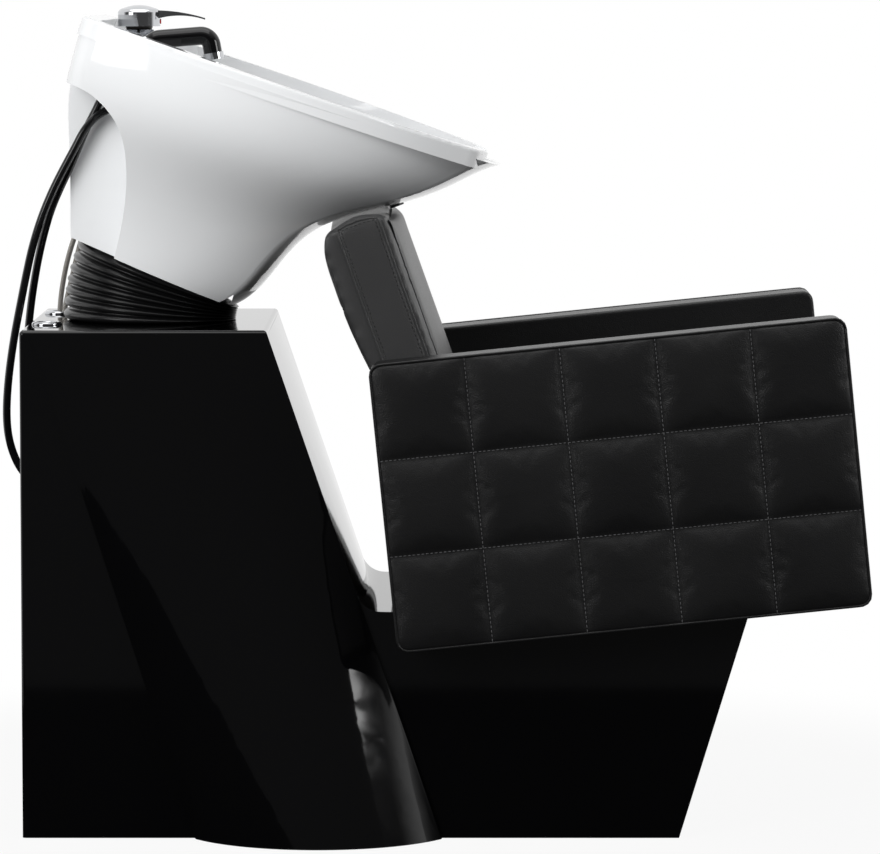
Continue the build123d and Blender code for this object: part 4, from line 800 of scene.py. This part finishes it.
def makeArmrest(name, side):
    uPlaces, perU = armCells(armrest["length"], armrest["columns"])
    vPlaces, perV = armCells(armrest["height"], armrest["rows"])
    columns, rows = len(uPlaces), len(vPlaces)
    places = [roundedPlace(u, v) for v in vPlaces for u in uPlaces]

    def outerLevel(index):
        row, column = divmod(index, columns)
        if column == columns - 1 or row == rows - 1:
            return sewnLevel
        swell = tileSwell((column % perU) / perU) * tileSwell((row % perV) / perV)
        return sewnLevel + armrest["start"] * swell

    points = [chairPoint(u, side * outerLevel(index), v) for index, (u, v) in enumerate(places)]
    points += [chairPoint(u, side * innerLevel, v) for u, v in places]
    faces, inside = [], len(places)
    for row in range(rows - 1):
        for column in range(columns - 1):
            first = row * columns + column
            corners = [first, first + 1, first + columns + 1, first + columns]
            faces.append(corners)
            faces.append([inside + index for index in reversed(corners)])
    border = armBorder(columns, rows)
    innerRing = [inside + index for index in border]
    addBand(points, faces, border, innerRing, [places[index] for index in border], side)
    pinned = [index for index in range(inside) if index % columns % perU == 0 or index // columns % perV == 0]
    pinned += range(inside, len(points))
    if side > 0:
        faces = [list(reversed(face)) for face in faces]
    cover = meshObject(name, points, faces)
    plump(cover, pinned=pinned, **armrest["stuffing"])
    subdivide(cover)
    pucker(cover, side)
    return cover


# A fine wave along a seam, shifted slowly both ways so that no two puckers are alike
def ripple(along, across, wave):
    fine, shift, slowAcross, slowAlong = wave
    return sin(along * fine + shift * sin(across * slowAcross) + 2 * sin(along * slowAlong))


def heldAt(distance):
    return min(1, distance / puckers["heldReach"] + puckers["leastHeld"])


# Small puckers that run out from each sewn line
def pucker(cover, side):
    tileU = armrest["length"] / armrest["columns"]
    tileV = armrest["height"] / armrest["rows"]
    foot = sewnLevel - puckers["margin"]
    for vertex in cover.data.vertices:
        place = vertex.co * 1000
        if side * place.y < foot:
            continue
        x, z = place.x - chairFrame["rear"][0], place.z - chairFrame["rear"][1]
        u = x * cos(chairFrame["pitch"]) + z * sin(chairFrame["pitch"])
        v = z * cos(chairFrame["pitch"]) - x * sin(chairFrame["pitch"])
        column, row = round(u / tileU), round(v / tileV)
        fromColumn, fromRow = abs(u - tileU * column), abs(v - tileV * row)
        columnFold = puckers["fold"] * exp(-fromColumn / puckers["columnReach"])
        rowFold = puckers["fold"] * exp(-fromRow / puckers["rowReach"])
        fold = columnFold * ripple(v, u, puckers["columnWave"]) + rowFold * ripple(u, v, puckers["rowWave"])
        sag = puckers["sag"] * sin(u * puckers["sagAlong"][0] + puckers["sagAlong"][1] * row)
        sag *= sin(v * puckers["sagUp"][0] + puckers["sagUp"][1] * column)
        vertex.co.y += side * (fold + sag) * (heldAt(fromColumn) * heldAt(fromRow)) / 1000


def seamLines(side):
    level = side * (sewnLevel + quilting["lift"])
    length, height, end = armrest["length"], armrest["height"], quilting["end"]
    lines = []
    for column in range(1, armrest["columns"]):
        u = length * column / armrest["columns"]
        lines.append([chairPoint(u, level, end + (height - 2 * end) * step / quilting["upSteps"])
                      for step in range(quilting["upSteps"] + 1)])
    for row in range(1, armrest["rows"]):
        v = height * row / armrest["rows"]
        lines.append([chairPoint(end + (length - 2 * end) * step / quilting["alongSteps"], level, v)
                      for step in range(quilting["alongSteps"] + 1)])
    return lines


def armOutline(inset, level, side):
    length, height, corner = armrest["length"], armrest["height"], armrest["corner"]
    path = []
    for centreU, centreV, start in ((length - corner, height - corner, 0), (corner, height - corner, 90),
                                    (corner, corner, 180), (length - corner, corner, 270)):
        for step in range(armrest["cornerSteps"] + 1):
            angle = radians(start + 90 * step / armrest["cornerSteps"])
            reach = corner - inset
            path.append(chairPoint(centreU + reach * cos(angle), side * level, centreV + reach * sin(angle)))
    return path + [path[0]]


for side, word, label in ((-1, "Near", "right"), (1, "Far", "left")):
    cover = makeArmrest(f"armrest{word}", side)
    finishPiece(cover, finishes["black_leather"], "base")
    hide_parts(f"armrest_pad_{label}", f"armrest_liner_{label}")
    addStitches(f"quiltStitches{word}", seamLines(side), paintedGlintThreadFinish, quilting["thread"])
    outline = armOutline(edging["pipingInset"], sewnLevel + edging["pipingLift"], side)
    piping = tubeObject(f"armrestPiping{word}", evenPath(outline, edging["pipingSpacing"]),
                        lambda travelled: edging["piping"], 10)
    finishPiece(piping, finishes["black_leather"], "base")
    edgeRow = armOutline(edging["rowInset"], sewnLevel - edging["rowDrop"], side)
    addStitches(f"edgeStitches{word}", [edgeRow], threadFinish, edging["thread"])
print("armrests ready")


# Seat and backrest: the CAD solids remeshed as covers, stuffed, then trimmed with piping and stitches
def softCopy(name, node, voxel, inset):
    source = cadNodes[node]
    mesh = source.data.copy()
    mesh.transform(source.matrix_world)
    obj = linkObject(name, mesh)
    edit = bmesh.new()
    edit.from_mesh(mesh)
    bmesh.ops.remove_doubles(edit, verts=edit.verts, dist=0.00002)
    edit.to_mesh(mesh)
    edit.free()
    remesh = obj.modifiers.new("evenCover", "REMESH")
    remesh.mode = "VOXEL"
    remesh.voxel_size = voxel
    soften = obj.modifiers.new("softEdges", "SMOOTH")
    soften.iterations = 4
    soften.factor = 0.5
    bpy.context.view_layer.update()
    cover = bpy.data.meshes.new_from_object(obj.evaluated_get(bpy.context.evaluated_depsgraph_get()))
    obj.modifiers.clear()
    obj.data = cover
    for vertex in cover.vertices:
        vertex.co -= vertex.normal * inset
    return obj


softPieces = {
    "seatCushion": {
        "node": "seat_cushion", "voxel": 0.0065, "inset": 0.0015, "pressure": 3.5, "cap": 0.006,
        "fill": 0.7, "finish": finishes["black_leather"],
    },
    "backrestCushion": {
        "node": "backrest_cushion", "voxel": 0.005, "inset": 0.0012, "pressure": 0.8, "cap": 0.002,
        "fill": 0.6, "finish": paintedLightBackLeather,
    },
    "backrestBody": {
        "node": "backrest_body", "voxel": 0.006, "inset": 0.0012, "pressure": 1.0, "cap": 0.002,
        "fill": 0.8, "finish": paintedLightBackLeather,
    },
}


# Presses the cover in along sewn lines
def pressSeams(cover, paths, width, depth):
    tree = KDTree(sum(len(path) for path in paths))
    number = 0
    for path in paths:
        for point in path:
            tree.insert(point, number)
            number += 1
    tree.balance()
    moves = []
    for vertex in cover.data.vertices:
        away = tree.find(vertex.co)[2]
        moves.append(-vertex.normal * depth * exp(-(away / width) ** 2))
    for vertex, move in zip(cover.data.vertices, moves):
        vertex.co += move


# Moves a path's points onto the cover
def layOn(cover, path, lift):
    laid = []
    for point in path:
        _, place, normal, _ = cover.closest_point_on_mesh(point)
        laid.append(place + normal * lift)
    return laid


def straightRun(start, end, spacing=0.003):
    count = max(2, round((end - start).length / spacing))
    return [start.lerp(end, step / count) for step in range(count + 1)]


backSeams = {"side": 222, "rear": 0, "front": 52, "top": 2, "foot": -300, "across": (-92.5, -185, -277),
             "behind": -27, "acrossHalf": 216, "acrossStep": 4, "pressWidth": (0.0035, 0.004),
             "pressDepth": 0.0012, "piping": 0.0014, "pipingSpacing": 0.006, "lift": 0.0002,
             "crossLift": 0.0001, "rowInset": 4,
             "thread": {"Stitch Spacing": 0.0052, "Thread Radius": 0.0005, "Bead Half Length": 0.0018}}


def backSeamPaths():
    rear, front, top, foot = (backSeams[edge] for edge in ("rear", "front", "top", "foot"))
    edges, crossings = [], []
    for side in (-1, 1):
        y = side * backSeams["side"]
        edges.append((side, "rear", straightRun(backPoint(rear, y, foot), backPoint(rear, y, top))))
        edges.append((side, "front", straightRun(backPoint(front, y, foot), backPoint(front, y, top))))
        edges.append((side, "top", straightRun(backPoint(rear, y, top), backPoint(front, y, top))))
    half, step = backSeams["acrossHalf"], backSeams["acrossStep"]
    for t in backSeams["across"]:
        crossings.append([backPoint(backSeams["behind"], y, t) for y in range(-half, half + 1, step)])
    return edges, crossings


def trimBackrest(cover):
    edges, crossings = backSeamPaths()
    edgeWidth, crossWidth = backSeams["pressWidth"]
    pressSeams(cover, crossings, crossWidth, backSeams["pressDepth"])
    pressSeams(cover, [path for _, _, path in edges], edgeWidth, backSeams["pressDepth"])
    for number, (_, _, path) in enumerate(edges):
        laid = evenPath(layOn(cover, path, backSeams["lift"]), backSeams["pipingSpacing"])
        cord = tubeObject(f"backrestPiping{number}", laid, lambda travelled: backSeams["piping"], 10)
        finishPiece(cord, paintedLightBackLeather, "base")
    inset = backSeams["rowInset"]
    forward = backPoint(inset, 0, 0) - backPoint(0, 0, 0)
    inward = {"rear": forward, "front": -forward, "top": backPoint(0, 0, -inset) - backPoint(0, 0, 0)}
    rows = []
    for side, edge, path in edges:
        shift = inward[edge] + Vector((0, side * inset / 1000, 0))
        rows.append(layOn(cover, [point + shift for point in path], backSeams["lift"]))
    rows += [layOn(cover, path, backSeams["crossLift"]) for path in crossings]
    addStitches("backrestStitches", rows, threadFinish, backSeams["thread"])


crown = {"border": 61, "halfWidth": 0.205, "reach": 0.9}


# Brings the front pad's sides back to the border, so that its face swells out towards the middle
def crownCushion(cover):
    lean = backFrame["lean"]
    forward = Vector((cos(lean), 0, sin(lean)))
    for vertex in cover.data.vertices:
        n = (vertex.co - backPoint(0, 0, 0)).dot(forward) * 1000
        share = min(1, abs(vertex.co.y) / crown["halfWidth"])
        if n > crown["border"]:
            vertex.co -= forward * (n - crown["border"]) * crown["reach"] * share ** 2 / 1000


for name, soft in softPieces.items():
    cover = softCopy(name, soft["node"], soft["voxel"], soft["inset"])
    if name == "backrestCushion":
        crownCushion(cover)
    plump(cover, soft["pressure"], soft["cap"], frames=14)
    subdivide(cover)
    if name == "backrestBody":
        trimBackrest(cover)
    finishPiece(cover, soft["finish"], "base")
    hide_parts(soft["node"])
print("seat and backrest ready")


# Floor, backdrop and lamps
stageSettings = {"floorHalf": 1.5, "floorLevel": -0.0015, "floorTone": 0.35, "floorRoughness": 0.9,
                 "floorSheen": 0.1, "mirrorTone": 0.004, "ambient": 0.2, "floorFade": (0.75, 1.3, 0.93, 1.0),
                 "behindFade": (-0.35, 0.05, 0.07, 1.0), "aboveFade": (0.25, 0.85, 0.0, 0.65)}


# Fades from one tone to another: the limits are where it starts and ends, then the two tones
def fadeNode(tree, source, limits):
    fade = tree.nodes.new("ShaderNodeMapRange")
    fade.interpolation_type = "SMOOTHSTEP"
    for label, value in zip(("From Min", "From Max", "To Min", "To Max"), limits):
        fade.inputs[label].default_value = value
    tree.links.new(source, fade.inputs["Value"])
    return fade.outputs[0]


floor = meshObject("paleFloor", [
    (x * stageSettings["floorHalf"], y * stageSettings["floorHalf"], stageSettings["floorLevel"])
    for x, y in ((-1, -1), (1, -1), (1, 1), (-1, 1))
], [(0, 1, 2, 3)], smooth=False)
floorFinish = bpy.data.materials.new("paleFloorFinish")
floorFinish.use_nodes = True
floorTree = floorFinish.node_tree
floorShader = next(node for node in floorTree.nodes if node.type == "BSDF_PRINCIPLED")
floorShader.inputs["Base Color"].default_value = (*[stageSettings["floorTone"]] * 3, 1)
floorShader.inputs["Roughness"].default_value = stageSettings["floorRoughness"]
floorShader.inputs["Specular IOR Level"].default_value = stageSettings["floorSheen"]
floorGlow = floorTree.nodes.new("ShaderNodeEmission")
floorGlow.inputs["Strength"].default_value = 1
floorRays = floorTree.nodes.new("ShaderNodeLightPath")
floorMix = floorTree.nodes.new("ShaderNodeMixShader")
floorPlace = floorTree.nodes.new("ShaderNodeTexCoord")
fromMiddle = floorTree.nodes.new("ShaderNodeVectorMath")
fromMiddle.operation = "LENGTH"
floorTree.links.new(floorPlace.outputs["Object"], fromMiddle.inputs[0])
paling = fadeNode(floorTree, fromMiddle.outputs["Value"], stageSettings["floorFade"])
glowShare = mathNode(floorTree, "MULTIPLY", floorRays.outputs["Is Camera Ray"], paling)
floorTree.links.new(glowShare, floorMix.inputs[0])
floorTree.links.new(floorShader.outputs[0], floorMix.inputs[1])
floorTree.links.new(floorGlow.outputs[0], floorMix.inputs[2])
floorDark = floorTree.nodes.new("ShaderNodeEmission")
floorDark.inputs["Strength"].default_value = stageSettings["mirrorTone"]
mirrorMix = floorTree.nodes.new("ShaderNodeMixShader")
floorTree.links.new(floorRays.outputs["Is Glossy Ray"], mirrorMix.inputs[0])
floorTree.links.new(floorMix.outputs[0], mirrorMix.inputs[1])
floorTree.links.new(floorDark.outputs[0], mirrorMix.inputs[2])
floorTree.links.new(mirrorMix.outputs[0], floorTree.nodes["Material Output"].inputs["Surface"])
floor.data.materials.append(floorFinish)

world = bpy.data.worlds.new("shopWorld")
scene.world = world
world.use_nodes = True
worldTree = world.node_tree
worldTree.nodes.clear()
rays = worldTree.nodes.new("ShaderNodeLightPath")
seen = mathNode(worldTree, "MAXIMUM", rays.outputs["Is Camera Ray"], rays.outputs["Is Glossy Ray"])
seen = mathNode(worldTree, "MAXIMUM", seen, rays.outputs["Is Transmission Ray"])
heading = worldTree.nodes.new("ShaderNodeTexCoord")
parts = worldTree.nodes.new("ShaderNodeSeparateXYZ")
worldTree.links.new(heading.outputs["Generated"], parts.inputs[0])
behind = fadeNode(worldTree, parts.outputs["Y"], stageSettings["behindFade"])
above = fadeNode(worldTree, parts.outputs["Z"], stageSettings["aboveFade"])
paleness = mathNode(worldTree, "MAXIMUM", behind, above)
paleness = mathNode(worldTree, "MAXIMUM", paleness, rays.outputs["Is Camera Ray"])
ambient = worldTree.nodes.new("ShaderNodeBackground")
ambient.inputs["Color"].default_value = (1, 1, 1, 1)
ambient.inputs["Strength"].default_value = stageSettings["ambient"]
backdrop = worldTree.nodes.new("ShaderNodeBackground")
backdrop.inputs["Color"].default_value = (1, 1, 1, 1)
worldTree.links.new(paleness, backdrop.inputs["Strength"])
chosen = worldTree.nodes.new("ShaderNodeMixShader")
worldOut = worldTree.nodes.new("ShaderNodeOutputWorld")
worldTree.links.new(seen, chosen.inputs[0])
worldTree.links.new(ambient.outputs[0], chosen.inputs[1])
worldTree.links.new(backdrop.outputs[0], chosen.inputs[2])
worldTree.links.new(chosen.outputs[0], worldOut.inputs["Surface"])

lamps = {
    "overheadLamp": {"place": (-0.2, -0.5, 2.9), "turn": (9, 0, 0), "size": 2.2, "power": 26},
    "frontLamp": {"place": (-1.7, -3.3, 1.7), "turn": (76, 0, -27), "size": 1.7, "power": 95,
                  "mirrored": False},
    "edgeLamp": {"place": (-2.7, -2.7, 1.5), "turn": (78, 0, -45), "size": 1.6, "power": 29},
    "sideLamp": {"place": (3.0, -1.6, 1.7), "turn": (66, 0, 60), "size": 1.2, "power": 30},
}
for name, lamp in lamps.items():
    lampData = bpy.data.lights.new(name, "AREA")
    lampData.shape = "SQUARE"
    lampData.size = lamp["size"]
    lampData.energy = lamp["power"]
    lampObject = linkObject(name, lampData)
    lampObject.location = lamp["place"]
    lampObject.rotation_euler = [radians(turn) for turn in lamp["turn"]]
    lampObject.visible_glossy = lamp.get("mirrored", True)
print("floor and lamps ready")
